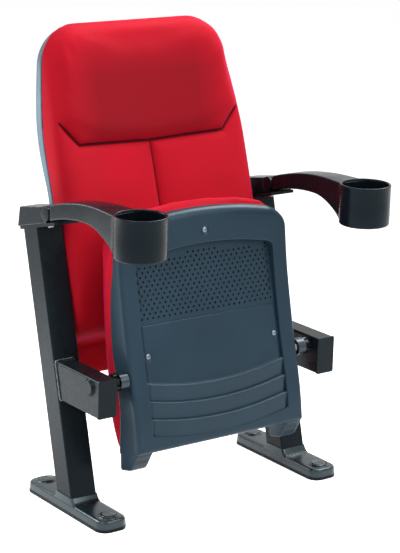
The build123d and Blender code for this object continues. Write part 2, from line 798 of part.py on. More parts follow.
def seat_cushion():
    """Upholstered wedge cushion, wrapped over the shell's top edge and let in behind its rim."""
    gap_rim = shifted(rim_line, 0, -seat_gap)
    rim_top = (pan_top, face_roll[1][1] - seat_gap)
    side = side_face(
        ThreePointArc(rim_top, nose_under, nose_tip),
        ThreePointArc(nose_tip, nose_bulge, sitting_front),
        ThreePointArc(sitting_front, sitting_mid, sitting_rear),
        ThreePointArc(sitting_rear, tail_bulge, tail_end),
        Polyline(tail_end, *reversed(gap_rim), rim_top),
    )
    plan = arched_outline(cushion_w, cushion_low, cushion_shoulder, cushion_top, cushion_corner)
    rake = atan2(sitting_front[1] - sitting_rear[1], sitting_front[0] - sitting_rear[0])
    across = Plane(origin=(0, *sitting_rear), x_dir=(1, 0, 0), z_dir=(0, cos(rake), sin(rake)))
    crown = across.location * extrude(crown_profile(), 10 * slack, both=True)
    body = extrude(plan, 3 * slack, both=True) & prism(side, -pan_w, pan_w) & crown
    board_back = board_front - board_t - seat_gap
    low, high = plug_low, plug_high
    plug = polygon_yz((high[0], board_back), (low[0], board_back), low, high)
    body += prism(plug, plug_inset - board_w, board_w - plug_inset)
    slot = extrude(board_outline(seat_gap, -4 * slack), board_t + 2 * seat_gap)
    body -= Pos(0, 0, board_back) * slot
    x, u = shell_screw_spots[0]
    body -= Pos(x, u, board_front) * shank(boss_r + seat_gap, slack)
    return pan_frame.location * body


# ---------------------------------------------------------------- backrest


def back_outline(inset):
    """The backrest from the front, in x and z, standing in by inset."""
    w, t = back_w - inset, back_top_w - inset
    low, high = back_low + inset, back_top - inset
    points = ((-w, low), (w, low), (w, back_knee), (t, high), (-t, high), (-w, back_knee))
    face = make_face(Polyline(*points, close=True))
    face = fillet(face.vertices().sort_by(Axis.Y)[:2], back_low_corner - inset)
    face = fillet(face.vertices().sort_by(Axis.Y)[-2:], back_corner - inset)
    knees = [v for v in face.vertices() if abs(v.Y - back_knee) < 1]
    return Plane.XZ * fillet(knees, back_knee_r - inset)


def back_prism(inset):
    """The backrest's outline run front to back through everything."""
    return Pos(0, 10 * slack, 0) * extrude(back_outline(inset), 12 * slack)


def join_points(shift):
    """The joint line above its knee, moved back by shift."""
    return shifted([join_knee, join_bend, join_high], shift)


def channel_strip():
    """The sewn channels from the front: a cross seam with turned-up ends and a middle seam."""
    side = (seam_side[0] + slack, seam_side[1] + slack)
    path = [side, seam_turn, (0, seam_mid_z)]
    strip = []
    for s in (-1, 1):
        points = [(s * x, z) for x, z in path]
        strip.append(trace(Polyline(*points), seam_w))
    strip.append(trace(Line((0, seam_mid_z), (0, back_low - slack)), seam_w))
    face = Plane.XZ * (Sketch() + strip)
    return Pos(0, 10 * slack, 0) * extrude(face, 12 * slack)


def across_back(low, high, hollow):
    """A body with the backrest's cross-section, run along the line from low to high.

    Its front is hollowed by the given depth in the middle and rounded along both sides.
    """
    run, rise = high[0] - low[0], high[1] - low[1]
    half = back_w - back_shoulder
    frame = Plane(origin=(0, *low), x_dir=(1, 0, 0), z_dir=(0, run, rise))
    front = ThreePointArc((-half, 0), (0, hollow), (half, 0)) if hollow else Line((-half, 0), (half, 0))
    edges = [front, Line((-back_w, 4 * slack), (back_w, 4 * slack))]
    for s in (-1, 1):
        mid = (s * (back_w - back_shoulder / 4), back_round / 4)
        edges.append(ThreePointArc((s * half, 0), mid, (s * back_w, back_round)))
        edges.append(Line((s * back_w, back_round), (s * back_w, 4 * slack)))
    return frame.location * extrude(make_face(Curve() + edges), 12 * slack, both=True)


def back_cushion():
    """Upholstered back: lumbar bend, dished face, rounded sides and sewn channels."""
    side = side_face(
        Line(back_front_low, back_front_high),
        ThreePointArc(back_front_low, lumbar_bulge, lumbar_low),
        ThreePointArc(lumbar_low, *back_foot),
        Polyline(back_foot[1], *back_heel, join_low),
        ThreePointArc(back_front_high, back_head_bulge, join_high),
        Polyline(join_high, join_bend, join_knee, join_low),
    )
    body = prism(side, -back_w, back_w) & back_prism(cover_inset)
    body = body & across_back(back_front_low, back_front_high, dish)
    chord = (back_front_low[0] - lumbar_low[0]) / (back_front_low[1] - lumbar_low[1])
    past_low = (lumbar_bulge[0] - slack * chord, lumbar_bulge[1] - slack)
    body = body & across_back(past_low, lumbar_bulge, 0)
    groove = (channel_strip() & body) - Pos(0, seam_depth, 0) * body
    return body - groove


def back_board():
    """Plywood board between the cushion and the back shell."""
    front = join_points(seat_gap)
    rear = join_points(seat_gap + back_board_t)
    slab = prism(polygon_yz(*front, *reversed(rear)), -back_w, back_w) & back_prism(back_board_inset)
    slab -= block(-back_w, back_w, 0, 10 * slack, back_board_top, back_top)
    return slab - hanger_bores()


def shell_rear(shift):
    """The back shell's rear line, (y, z), moved by shift in y: straight, then an S-curve."""
    low, bend, swell, head, top = shifted(
        [shell_rear_low, shell_rear_bend, shell_rear_swell, shell_rear_head, shell_rear_top], shift
    )
    foot = Line(low, bend)
    lower = TangentArc(bend, swell, tangent=foot % 1)
    upper = TangentArc(swell, head, tangent=lower % 1)
    return [foot, lower, upper, Line(head, top)]


def back_shell():
    """Moulded back shell, a deep tray behind the cushion, with pads for the hanger bolts."""
    front = [*shifted([join_low], seat_gap), *join_points(seat_gap)]
    front.append((join_high[0] + seat_gap, shell_rear_top[1]))
    outer = side_face(*shell_rear(0), Polyline(shell_rear_low, *front, shell_rear_top))
    body = prism(outer, -back_w, back_w) & back_prism(0) & Pos(0, 0, -shell_drop) * back_prism(0)
    low, top = shifted([shell_rear_low, shell_rear_top], -shell_t)
    open_front = Polyline(low, (0, low[1]), (0, top[1]), top)
    inner = side_face(*shell_rear(-shell_t), open_front)
    hollow = back_prism(shell_t)
    body -= prism(inner, -back_w, back_w) & hollow & Pos(0, 0, -shell_drop) * hollow
    return body + hanger_pads() - hanger_bores()


def on_line(low, high, z):
    """The y at height z of the straight line through two (y, z) points."""
    return low[0] + (high[0] - low[0]) * (z - low[1]) / (high[1] - low[1])


def shell_back_y(z):
    """The shell's rear face at height z, in the straight run that the hangers lie on."""
    return on_line(shell_rear_low, shell_rear_bend, z)


def bolt_frames():
    """A frame on the shell's rear face for each hanger bolt, z pointing out of the face."""
    run = shell_rear_bend[0] - shell_rear_low[0]
    rise = shell_rear_bend[1] - shell_rear_low[1]
    spots = [(s * hanger_bolt_x, z) for s in (1, -1) for z in hanger_bolt_z]
    return [
        Plane(origin=(x, shell_back_y(z), z), x_dir=(1, 0, 0), z_dir=(0, rise, -run)) for x, z in spots
    ]


def hanger_bores():
    """Bolt holes through the hangers, the shell, its pads and the board."""
    bar = Pos(0, 0, -slack) * shank(hanger_bolt_r + run_gap, 2 * slack)
    return Compound(children=[frame.location * bar for frame in bolt_frames()])


def hanger_pads():
    """Pads inside the shell, from its wall forward to the board's rear face."""
    low, high = hanger_bolt_z[0] - hanger_pad, hanger_bolt_z[1] + hanger_pad
    start = back_board_t + 2 * seat_gap
    side = polygon_yz(
        (on_line(join_knee, join_bend, low) + start, low),
        (shell_back_y(low) - shell_t / 2, low),
        (shell_back_y(high) - shell_t / 2, high),
        (on_line(join_knee, join_bend, high) + start, high),
    )
    pad = prism(side, hanger_bolt_x - hanger_pad, hanger_bolt_x + hanger_pad)
    return both_sides([pad])


def back_hanger():
    """Welded steel angle that carries the backrest on a leg."""
    inner_face = leg_x - leg_w / 2
    low, high = shell_back_y(hanger_low), shell_back_y(hanger_high)
    wing_back = [(low + hanger_t, hanger_low), (high + hanger_t, hanger_high)]
    cheek = polygon_yz((leg_y(hanger_low), hanger_low), *wing_back, (leg_y(hanger_high), hanger_high))
    wing = polygon_yz((low, hanger_low), *wing_back, (high, hanger_high))
    body = prism(cheek, inner_face - hanger_t, inner_face) + prism(wing, hanger_in, inner_face)
    return body - hanger_bores()


def hanger_bolts():
    """Two bolts through each hanger into the back board."""
    body = Pos(0, 0, -hanger_grip) * shank(hanger_bolt_r, hanger_grip + hanger_t + seat_gap)
    bolt = body + Pos(0, 0, hanger_t + seat_gap) * shank(hanger_head_r, hanger_head_h, 6)
    return Compound(children=[frame.location * bolt for frame in bolt_frames()])


def export(name, shape):
    export_step(shape, f"parts/{name}.step")


def main():
    os.makedirs("parts", exist_ok=True)
    pairs = {
        "leg_tube": leg_tube,
        "base_plate": base_plate,
        "foot_cover": foot_cover,
        "head_plate": head_plate,
        "armrest_block": armrest_block,
        "arm": arm,
        "arm_buffer": arm_buffer,
        "seat_bracket": bracket,
        "bracket_end": bracket_end,
        "hinge_plate": hinge_plate,
        "counterweight": counterweight,
        "back_hanger": back_hanger,
    }
    for name, make in pairs.items():
        right = make()
        export("right_" + name, right)
        export("left_" + name, mirrored(right))
    singles = {
        "floor_bolt_caps": floor_bolt_caps,
        "block_screws": block_screws,
        "arm_pins": arm_pins,
        "arm_hinge_caps": arm_hinge_caps,
        "pivot_pins": pivot_pins,
        "pivot_caps": pivot_caps,
        "stop_quadrants": stop_quadrants,
        "pivot_bushes": pivot_bushes,
        "hub_collars": hub_collars,
        "stop_pins": stop_pins,
        "seat_shell": seat_shell,
        "seat_shell_screws": shell_screws,
        "seat_board": seat_board,
        "seat_cross_tubes": cross_tubes,
        "seat_cushion": seat_cushion,
        "back_cushion": back_cushion,
        "back_board": back_board,
        "back_shell": back_shell,
        "hanger_bolts": hanger_bolts,
    }
    for name, make in singles.items():
        export(name, make())


main()
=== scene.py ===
import json
import math

import bmesh
import bpy
import numpy as np
from mathutils import Matrix, Vector


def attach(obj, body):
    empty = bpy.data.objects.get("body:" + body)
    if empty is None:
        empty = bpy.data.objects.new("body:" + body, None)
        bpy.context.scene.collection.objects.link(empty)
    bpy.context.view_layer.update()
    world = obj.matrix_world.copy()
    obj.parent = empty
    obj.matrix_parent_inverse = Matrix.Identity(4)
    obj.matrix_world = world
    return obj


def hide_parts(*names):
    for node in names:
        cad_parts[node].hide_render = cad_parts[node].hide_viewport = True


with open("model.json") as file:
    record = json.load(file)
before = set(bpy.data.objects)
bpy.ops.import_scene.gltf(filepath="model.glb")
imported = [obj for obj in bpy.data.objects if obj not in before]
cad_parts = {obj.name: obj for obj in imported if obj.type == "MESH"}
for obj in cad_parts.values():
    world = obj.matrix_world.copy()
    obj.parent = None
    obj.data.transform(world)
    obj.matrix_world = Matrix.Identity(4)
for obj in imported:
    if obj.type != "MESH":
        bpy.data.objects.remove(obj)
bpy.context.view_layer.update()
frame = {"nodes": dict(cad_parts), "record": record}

# Tip-up auditorium seat. Sizes below are in millimetres, in the frame of the CAD model:
# x to the right seen from the front, the seat faces -y, z up. Meshes are written in metres.

MM = 0.001
TAU = 2 * math.pi
QUARTER = TAU / 4

leg_x = 280.0  # middle of a leg, of its foot and of its floor bolts
arm_x = 288.4
cup_x = 284.8
hinge = (77.87, 627.5)  # y and z of the arms' hinge pins
pivot = np.array([0.0, -89.0, 299.0])  # middle of the seat's pivot line
pan_lean = math.radians(13.93)  # how far the tipped-up seat leans to the rear
head_tilt = math.radians(15.0)  # how far the leg's head plate falls to the rear
leg_lean = math.radians(14.3)
leg_base_y = -9.0  # where the leg's middle line meets the floor
leg_length = 602.0
leg_w, leg_d = 62.5, 58.0
seam_path = ((0.0, 738.0), (186.0, 745.0), (236.0, 799.0))  # (x, z) along the fold under the head panel


# ---------------------------------------------------------------- working surfaces


def smooth_line(at, places, values):
    """A curve through (place, value) pairs: cubic Hermite runs, the slope m at each pair the mean of its
    neighbours'. At the share t of a run of length h it is (1 - e) y0 + e y1 + h (t^3 - 2t^2 + t) m0 + h
    (t^3 - t^2) m1, with e = 3t^2 - 2t^3."""
    x, y, at = np.asarray(places, float), np.asarray(values, float), np.asarray(at, float)
    slope = np.gradient(y, x)
    i = np.clip(np.searchsorted(x, at) - 1, 0, len(x) - 2)
    h = x[i + 1] - x[i]
    t = np.clip((at - x[i]) / h, 0, 1)
    a, b = 2 * t**3 - 3 * t**2 + 1, t**3 - 2 * t**2 + t
    return a * y[i] + b * h * slope[i] + (1 - a) * y[i + 1] + (t**3 - t**2) * h * slope[i + 1]


def ease(low, high, at):
    """0 below low, 1 above high, and 3t^2 - 2t^3 between them."""
    t = np.clip((np.asarray(at, float) - low) / (high - low), 0, 1)
    return t * t * (3 - 2 * t)


def quarter_turn(count):
    """So many angles from 0 to a right angle, evenly."""
    return np.linspace(0, 1, count) * QUARTER


def stack(*columns):
    """x, y and z arrays, spread to one shape, as an array of points."""
    return np.stack(np.broadcast_arrays(*[np.asarray(c, float) for c in columns]), -1)


def grid_faces(rows, columns, wrap_rows=False, wrap_columns=False):
    """The quads between the points of a grid, going round where a direction closes on itself."""
    r = np.arange(rows if wrap_rows else rows - 1)
    c = np.arange(columns if wrap_columns else columns - 1)
    i, j = np.meshgrid(r, c, indexing="ij")
    down, along = (i + 1) % rows, (j + 1) % columns
    quads = [i * columns + j, i * columns + along, down * columns + along, down * columns + j]
    return np.stack(quads, -1).reshape(-1, 4)


def ring_of(sections):
    """A closed body through closed sections (rows, columns, 3), the last joined to the first again."""
    faces = grid_faces(*sections.shape[:2], wrap_rows=True, wrap_columns=True)
    return sections.reshape(-1, 3), [tuple(f) for f in faces]


def tube_of(sections):
    """A closed body through closed sections (rows, columns, 3), its two ends filled."""
    rows, columns = sections.shape[:2]
    faces = [tuple(f) for f in grid_faces(rows, columns, wrap_columns=True)]
    faces.append(tuple(range(columns - 1, -1, -1)))
    faces.append(tuple(range((rows - 1) * columns, rows * columns)))
    return sections.reshape(-1, 3), faces


def turned(radii, heights, segments=64):
    """A profile of radii and heights turned about the z axis. Merging closes the ends with radius 0."""
    angle = np.arange(segments) / segments * TAU
    r, h = np.asarray(radii, float)[:, None], np.asarray(heights, float)[:, None]
    points = stack(r * np.cos(angle), r * np.sin(angle), h)
    return points.reshape(-1, 3), [tuple(f) for f in grid_faces(len(r), segments, wrap_columns=True)]


def slab_of(top, bottom):
    """A closed body between two grids of the same shape."""
    rows, columns = top.shape[:2]
    n = rows * columns
    faces = [tuple(f) for f in grid_faces(rows, columns)]
    faces += [tuple(f[::-1] + n) for f in grid_faces(rows, columns)]
    index = np.arange(n).reshape(rows, columns)
    border = np.concatenate([index[0], index[1:, -1], index[-1, -2::-1], index[-2:0:-1, 0]])
    after = np.roll(border, -1)
    faces += [tuple(f) for f in np.stack([border, border + n, after + n, after], -1)]
    return np.concatenate([top.reshape(-1, 3), bottom.reshape(-1, 3)]), faces


def placed(body, origin=(0, 0, 0), x_axis=(1, 0, 0), z_axis=(0, 0, 1)):
    """A body drawn about its own z axis, set with that axis along z_axis at origin."""
    points, faces = body
    z = np.asarray(z_axis, float) / np.linalg.norm(z_axis)
    x = np.asarray(x_axis, float)
    x = x - z * (x @ z)
    x /= np.linalg.norm(x)
    y = np.cross(z, x)
    return points @ np.array([x, y, z]) + np.asarray(origin, float), faces


def mirrored(body):
    """The same body on the other side, x as -x, its faces turned over to look outwards again."""
    points, faces = body
    return points * np.array([-1, 1, 1]), [tuple(f[::-1]) for f in faces]


def both(side, bodies):
    """Bodies drawn on the right, for the side that is asked for."""
    return bodies if side == "right" else [mirrored(b) for b in bodies]


def rounded_rectangle(half_a, half_b, radius, per_corner=6, per_side=1):
    """A closed loop: a rectangle with quarter-circle corners; each side is cut in per_side runs."""
    loop = []
    for k, (side_a, side_b) in enumerate(((1, 1), (-1, 1), (-1, -1), (1, -1))):
        turn = (np.linspace(0, 1, per_corner + 1) + k) * QUARTER
        a = side_a * (half_a - radius) + radius * np.cos(turn)
        b = side_b * (half_b - radius) + radius * np.sin(turn)
        loop.append(np.stack([a, b], -1))
    points = np.concatenate(loop)
    if per_side == 1:
        return points
    cut = []
    for i, (p, q) in enumerate(zip(points, np.roll(points, -1, 0))):
        cut.append(p[None])
        if i % (per_corner + 1) == per_corner:
            cut.append(p + (q - p) * (np.arange(1, per_side) / per_side)[:, None])
    return np.concatenate(cut)


def rounded_sections(middle_a, half_a, middle_b, half_b, radius, per_corner):
    """Rounded rectangles, one a row, as their a and b: a = middle_a +- (half_a - radius) + radius cos t,
    and b = middle_b +- (half_b - radius) + radius sin t, with the signs of t's own quarter."""
    circle = rounded_rectangle(1.0, 1.0, 1.0, per_corner)
    count = len(circle) // 4
    side_a, side_b = np.repeat([1, -1, -1, 1], count), np.repeat([1, 1, -1, -1], count)
    sizes = (middle_a, half_a, middle_b, half_b, radius)
    middle_a, half_a, middle_b, half_b, radius = [np.reshape(size, (-1, 1)) for size in sizes]
    a = middle_a + side_a * (half_a - radius) + circle[:, 0] * radius
    b = middle_b + side_b * (half_b - radius) + circle[:, 1] * radius
    return a, b


def inward(loop):
    """Unit normals of a closed anticlockwise loop, towards its inside."""
    along = np.roll(loop, -1, 0) - np.roll(loop, 1, 0)
    along /= np.linalg.norm(along, axis=1)[:, None]
    return np.stack([-along[:, 1], along[:, 0]], -1)


# ---------------------------------------------------------------- meshes and pieces

same_place, no_length = 1e-4, 1e-6  # metres: points closer than this are one, edges shorter than this go


def mesh_of(name, points, faces, merge):
    """A mesh from points in mm, its faces looking outwards. merge joins doubled points."""
    mesh = bpy.data.meshes.new(name)
    mesh.from_pydata((points * MM).tolist(), [], faces)
    bm = bmesh.new()
    bm.from_mesh(mesh)
    if merge:
        bmesh.ops.remove_doubles(bm, verts=bm.verts, dist=same_place)
        bmesh.ops.dissolve_degenerate(bm, edges=bm.edges, dist=no_length)
    bmesh.ops.recalc_face_normals(bm, faces=bm.faces)
    bm.to_mesh(mesh)
    bm.free()
    return mesh


def add_object(name, data):
    """A new object of the scene that shows data."""
    obj = bpy.data.objects.new(name, data)
    bpy.context.scene.collection.objects.link(obj)
    return obj


def make_piece(name, bodies, material, body, replaces=(), crease=35.0, bevel=0.0):
    """One object from bodies of (points in mm, faces), riding on a body of the frame and shown for the
    nodes in replaces. Edges over crease degrees are kept sharp; those over 30 are rounded by bevel mm."""
    points, faces, start = [], [], 0
    for p, f in bodies:
        points.append(np.asarray(p, float))
        faces += [tuple(int(i) + start for i in face) for face in f]
        start += len(p)
    mesh = mesh_of(name, np.concatenate(points), faces, True)
    mesh.shade_smooth()
    mesh.set_sharp_from_angle(angle=math.radians(crease))
    mesh.materials.append(material)
    obj = add_object(name, mesh)
    if bevel:
        cut = obj.modifiers.new("rounded_edges", "BEVEL")
        cut.width, cut.segments, cut.limit_method = bevel * MM, 3, "ANGLE"
        cut.angle_limit = math.radians(30)
        cut.harden_normals = True
    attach(obj, body)
    if replaces:
        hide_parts(*replaces)
    return obj


# ---------------------------------------------------------------- materials

cool_shine = (0.72, 0.92, 1.0, 1.0)  # tint of the plastics' and the paint's reflections
leather_depth, leather_cells = 0.00006, 900.0  # relief in metres, cells to the metre
steel_marks = 300.0  # turning marks to the metre
head_shade_side, head_shade_low, head_shade_high = (0.13, 0.225), (0.735, 0.765), (0.885, 0.975)  # metres: where the painted shade in the middle of the head panel fades out, across, below and above


class Finish:
    """A material under construction: one Principled shader and the nodes that feed it."""

    def __init__(self, name, **sockets):
        self.material = bpy.data.materials.new(name)
        self.material.use_nodes = True
        self.tree = self.material.node_tree
        self.tree.nodes.clear()
        self.shader = self.node("ShaderNodeBsdfPrincipled")
        out = self.node("ShaderNodeOutputMaterial")
        self.tree.links.new(self.shader.outputs["BSDF"], out.inputs["Surface"])
        for socket, value in sockets.items():
            self.shader.inputs[socket.replace("_", " ")].default_value = value
        self.place = self.node("ShaderNodeTexCoord").outputs["Object"]

    def node(self, kind, inputs=(), **settings):
        """A new node with its settings, each of its inputs linked or set."""
        made = self.tree.nodes.new(kind)
        for key, value in settings.items():
            setattr(made, key, value)
        for key, value in dict(inputs).items():
            self.feed(made.inputs[key], value)
        return made

    def feed(self, socket, value):
        """Links a node's output to a socket, or sets the socket's own value."""
        if isinstance(value, bpy.types.NodeSocket):
            self.tree.links.new(value, socket)
        else:
            socket.default_value = value

    def use(self, socket, value):
        """Feeds one of the shader's own sockets."""
        self.feed(self.shader.inputs[socket], value)

    def maths(self, operation, a, b=0.0, c=0.0, clamp=False):
        """The result of one math operation."""
        node = self.node("ShaderNodeMath", {0: a, 1: b, 2: c}, operation=operation, use_clamp=clamp)
        return node.outputs[0]

    def between(self, factor, low, high, a, b):
        """Goes from a to b as factor goes from low to high."""
        inputs = {0: factor, 1: low, 2: high, 3: a, 4: b}
        return self.node("ShaderNodeMapRange", inputs).outputs[0]

    def noise(self, scale, detail=3.0):
        """Noise about 0.5, so many lumps to the metre."""
        inputs = {"Vector": self.place, "Scale": scale, "Detail": detail}
        return self.node("ShaderNodeTexNoise", inputs).outputs["Fac"]

    def patches(self, scale, detail, a, b, low=0.3, high=0.7):
        """Patches that go from a to b as noise goes from low to high."""
        return self.between(self.noise(scale, detail), low, high, a, b)

    def mixed(self, factor, a, b):
        """Colour a where factor is 0, b where it is 1."""
        return self.node("ShaderNodeMix", {0: factor, 6: a, 7: b}, data_type="RGBA").outputs[2]

    def bump(self, height, strength, distance, below=None):
        """Normals of a relief of distance metres, on those of a relief below it."""
        inputs = {"Height": height, "Strength": strength, "Distance": distance}
        if below is not None:
            inputs["Normal"] = below
        return self.node("ShaderNodeBump", inputs).outputs[0]

    def run_near(self, across, up, a, b, line, fade):
        """1 within line mm of the straight run from a to b, 0 beyond fade mm. The nearest place on the
        run is a + t (b - a), t = ((p - a) . (b - a)) / |b - a|^2 held between 0 and 1."""
        a, b = np.array(a) * MM, np.array(b) * MM
        run = b - a
        step = run / (run @ run)
        t = self.maths("ADD", self.maths("MULTIPLY_ADD", across, float(step[0]), float(-a @ step)),
                       self.maths("MULTIPLY", up, float(step[1])), clamp=True)
        squares = []
        for value, k in ((across, 0), (up, 1)):
            off = self.maths("SUBTRACT", value, self.maths("MULTIPLY_ADD", t, float(run[k]), float(a[k])))
            squares.append(self.maths("MULTIPLY", off, off))
        far = self.maths("SQRT", self.maths("ADD", *squares))
        return self.between(far, line * MM, fade * MM, 1.0, 0.0)


def linear(red, green, blue):
    """A colour read off as 0-255, as the linear values that the shader takes."""
    c = np.array([red, green, blue]) / 255
    return (*np.where(c <= 0.04045, c / 12.92, ((c + 0.055) / 1.055) ** 2.4), 1.0)


def toned(colour, factor, lift=0.0):
    """A linear colour times factor and plus lift, channel by channel, 1 at most."""
    return (*(min(1.0, c * factor + lift) for c in colour[:3]), 1.0)


def moulded(name, colour, roughness, tone=0.12, shine=0.16):
    """Moulded plastic: fine leather-like grain, slow changes of tone, duller and glossier patches."""
    f = Finish(name, Specular_IOR_Level=shine, Specular_Tint=cool_shine)
    base = linear(*colour)
    cloudy = f.patches(7.0, 4.0, 0.0, 1.0)
    f.use("Base Color", f.mixed(cloudy, toned(base, 1 - tone), toned(base, 1 + tone)))
    f.use("Roughness", f.patches(60.0, 3.0, roughness - 0.04, roughness + 0.05))
    skin = f.node("ShaderNodeTexVoronoi", {"Vector": f.place, "Scale": leather_cells}).outputs["Distance"]
    f.use("Normal", f.bump(skin, 0.22, leather_depth))
    return f.material


def coated(name, colour, roughness):
    """Powder coat: the orange-peel of baked paint, with faint dust in the tone."""
    f = Finish(name, Specular_IOR_Level=0.13, Specular_Tint=cool_shine)
    base = linear(*colour)
    dusty = f.patches(11.0, 4.0, 0.0, 1.0, low=0.35)
    f.use("Base Color", f.mixed(dusty, base, toned(base, 1.3, 0.001)))
    f.use("Roughness", f.patches(45.0, 3.0, roughness - 0.04, roughness + 0.06))
    f.use("Normal", f.bump(f.noise(420.0, 2.0), 0.15, 0.0002))
    return f.material


def metal(name, colour, roughness):
    """Bare steel: fine turning marks and stained patches."""
    f = Finish(name, Metallic=1.0)
    base = linear(*colour)
    stained = f.patches(35.0, 4.0, 0.0, 1.0, low=0.45)
    f.use("Base Color", f.mixed(stained, base, toned(base, 0.72)))
    f.use("Roughness", f.patches(steel_marks, 5.0, roughness - 0.06, roughness + 0.1))
    f.use("Normal", f.bump(f.noise(steel_marks * 2, 3.0), 0.1, 0.0001))
    return f.material


def upholstery(name, sewn):
    """Red woven cover: fine low threads, a short nap that shines magenta at the edges, painted shade that
    darkens the middle of the head panel and, if sewn, a dark line of painted shade along the seams."""
    f = Finish(name, Specular_IOR_Level=0.12, Sheen_Weight=0.34, Sheen_Roughness=0.3,
               Sheen_Tint=(1.0, 0.03, 0.5, 1.0))
    x, _, z = f.node("ShaderNodeSeparateXYZ", {0: f.place}).outputs
    side = f.maths("ABSOLUTE", x)
    drift = f.patches(6.0, 4.0, 0.0, 1.0)
    base = f.mixed(drift, linear(172, 8, 28), linear(188, 11, 35))
    # painted shade: the middle of the head panel is darkened, fading out across and up and down
    within = f.between(side, *head_shade_side, 1.0, 0.0)
    above, below = f.between(z, *head_shade_low, 0.0, 1.0), f.between(z, *head_shade_high, 1.0, 0.0)
    panel = f.maths("MULTIPLY", within, f.maths("MULTIPLY", above, below))
    base = f.mixed(f.maths("MULTIPLY", panel, 0.8), base, linear(126, 9, 21))
    base = f.mixed(f.patches(1300.0, 2.0, 0.0, 0.22), base, linear(120, 4, 16))
    if sewn:
        # painted shade: the creases of the upright channel and of the fold under the head panel are
        # darkened
        channel = f.run_near(side, z, (0, 737), (0, 300), 1.2, 3.4)
        base = f.mixed(f.maths("MULTIPLY", channel, 0.75), base, linear(92, 6, 14))
        level = f.run_near(side, z, *seam_path[:2], 1.6, 4.4)
        rising = f.run_near(side, z, seam_path[1], (230, 793), 1.4, 3.8)
        fold = f.maths("MAXIMUM", level, rising)
        base = f.mixed(f.maths("MULTIPLY", fold, 0.92), base, linear(48, 4, 9))
    f.use("Base Color", base)
    f.use("Roughness", f.between(drift, 0.0, 1.0, 0.72, 0.84))
    slubs = f.bump(f.noise(260.0, 4.0), 0.2, 0.0004)
    f.use("Normal", f.bump(f.noise(2100.0, 1.0), 0.4, 0.0002, slubs))
    return f.material


def plywood():
    """Birch ply, its grain stretched along the height."""
    f = Finish("birch_ply", IOR=1.45)
    stretched = f.node("ShaderNodeMapping", {"Vector": f.place, "Scale": (14.0, 14.0, 1.6)}).outputs[0]
    grain = f.node("ShaderNodeTexNoise", {"Vector": stretched, "Scale": 9.0, "Detail": 6.0}).outputs["Fac"]
    figure = f.between(grain, 0.35, 0.65, 0.0, 1.0)
    f.use("Base Color", f.mixed(figure, linear(196, 164, 118), linear(158, 120, 78)))
    f.use("Roughness", f.between(grain, 0.3, 0.7, 0.55, 0.7))
    f.use("Normal", f.bump(grain, 0.2, 0.0003))
    return f.material


red_cover = upholstery("red_cover", False)
red_sewn_cover = upholstery("red_sewn_cover", True)
black_coat = coated("black_powder_coat", (13, 19, 23), 0.27)
black_moulding = moulded("charcoal_moulding", (12, 18, 24), 0.26)
seat_moulding = moulded("slate_moulding", (33, 51, 64), 0.33, shine=0.24)
back_moulding = moulded("blue_grey_moulding", (98, 119, 131), 0.42, shine=0.4)
foot_moulding = moulded("foot_moulding", (15, 24, 29), 0.26, shine=0.6)
dark_steel = metal("dark_steel", (62, 70, 76), 0.3)
shell_steel = metal("blued_steel", (118, 132, 142), 0.35)
weld_metal = metal("painted_weld", (88, 98, 104), 0.24)
slot_materials = {
    "powder_coat": black_coat,
    "moulded_black": black_moulding,
    "shell_plastic": seat_moulding,
    "back_plastic": back_moulding,
    "fabric_red": red_cover,
    "steel": metal("bright_steel", (190, 196, 200), 0.28),
    "plywood": plywood(),
    "rubber_pad": moulded("black_rubber", (22, 22, 23), 0.7, tone=0.2),
    "nylon": moulded("white_nylon", (205, 203, 192), 0.4, tone=0.04),
    "iron": metal("cast_iron", (70, 70, 72), 0.6),
}


def dress_cad_nodes():
    """Every CAD node gets the finish of its own material slot; the hub's steel is darker."""
    for part in frame["record"]["subparts"]:
        mesh = frame["nodes"][part["node"]].data
        mesh.materials.clear()
        mesh.materials.append(slot_materials[part["material_slot"]])
    for node in ("hub_collars", "stop_pins"):
        frame["nodes"][node].data.materials[0] = dark_steel


dress_cad_nodes()


# ---------------------------------------------------------------- arms and cups

arm_rear = hinge[0] - 16.3  # y where the moulding begins, in front of the block
arm_half, arm_front_half = 25.15, 38.5  # half its width at the rear and at the cup
widen_y, widen_run = -38.1, 151.0
hollow_y, hollow_run, hollow_out = -160.0, 15.0, 3.4
cup_y, cup_r, cup_low, cup_rim = -228.1, 53.5, 598.0, 685.0
cup_join_r = 51.0  # the arm ends on this circle, inside the cup's wall
top_points = ((arm_rear, 648.5), (-37.1, 673.0), (-132.1, 681.0))  # (y, z) on the upper line
under_points = ((arm_rear, 614.5), (-21.1, 634.0), (-78.1, 638.0))  # (y, z) on the lower line's rear arc
bend_end, bend_out = (-175.1, 600.0), 11.0  # where its front curve ends, and how far it bulges
curve_y, arm_end_y = -110.0, -175.0  # from here on its sections bend to the cup's round, and its last one
arm_edge = 4.0  # rounding of the arm's long edges
end_round = 3.2  # rounding of its rear end
end_rings, end_edges = (0.0, 0.2, 0.8, 1.7, 3.1), (1.4, 2.0, 2.8, 3.4, 3.8)  # places in it, their corners
ear_w, ear_out, ear_r, barrel_r = 6.0, 1.2, 15.9, 15.5  # the block's ears and the arm's barrel between them


def arc_through(a, b, c, at):
    """Heights at the places at, on the circle through three (place, height) points."""
    (ax, ay), (bx, by), (cx, cy) = a, b, c
    d = 2 * (ax * (by - cy) + bx * (cy - ay) + cx * (ay - by))
    ux = ((ax**2 + ay**2) * (by - cy) + (bx**2 + by**2) * (cy - ay) + (cx**2 + cy**2) * (ay - by)) / d
    uy = ((ax**2 + ay**2) * (cx - bx) + (bx**2 + by**2) * (ax - cx) + (cx**2 + cy**2) * (bx - ax)) / d
    r = math.hypot(ax - ux, ay - uy)
    side = 1 if by > uy else -1
    return uy + side * np.sqrt(np.maximum(r**2 - (np.asarray(at) - ux) ** 2, 0))


def arm_top(y):
    """The arm's upper line: one arc rising to the front, then level into the cup."""
    return arc_through(*top_points, np.maximum(y, top_points[2][0]))


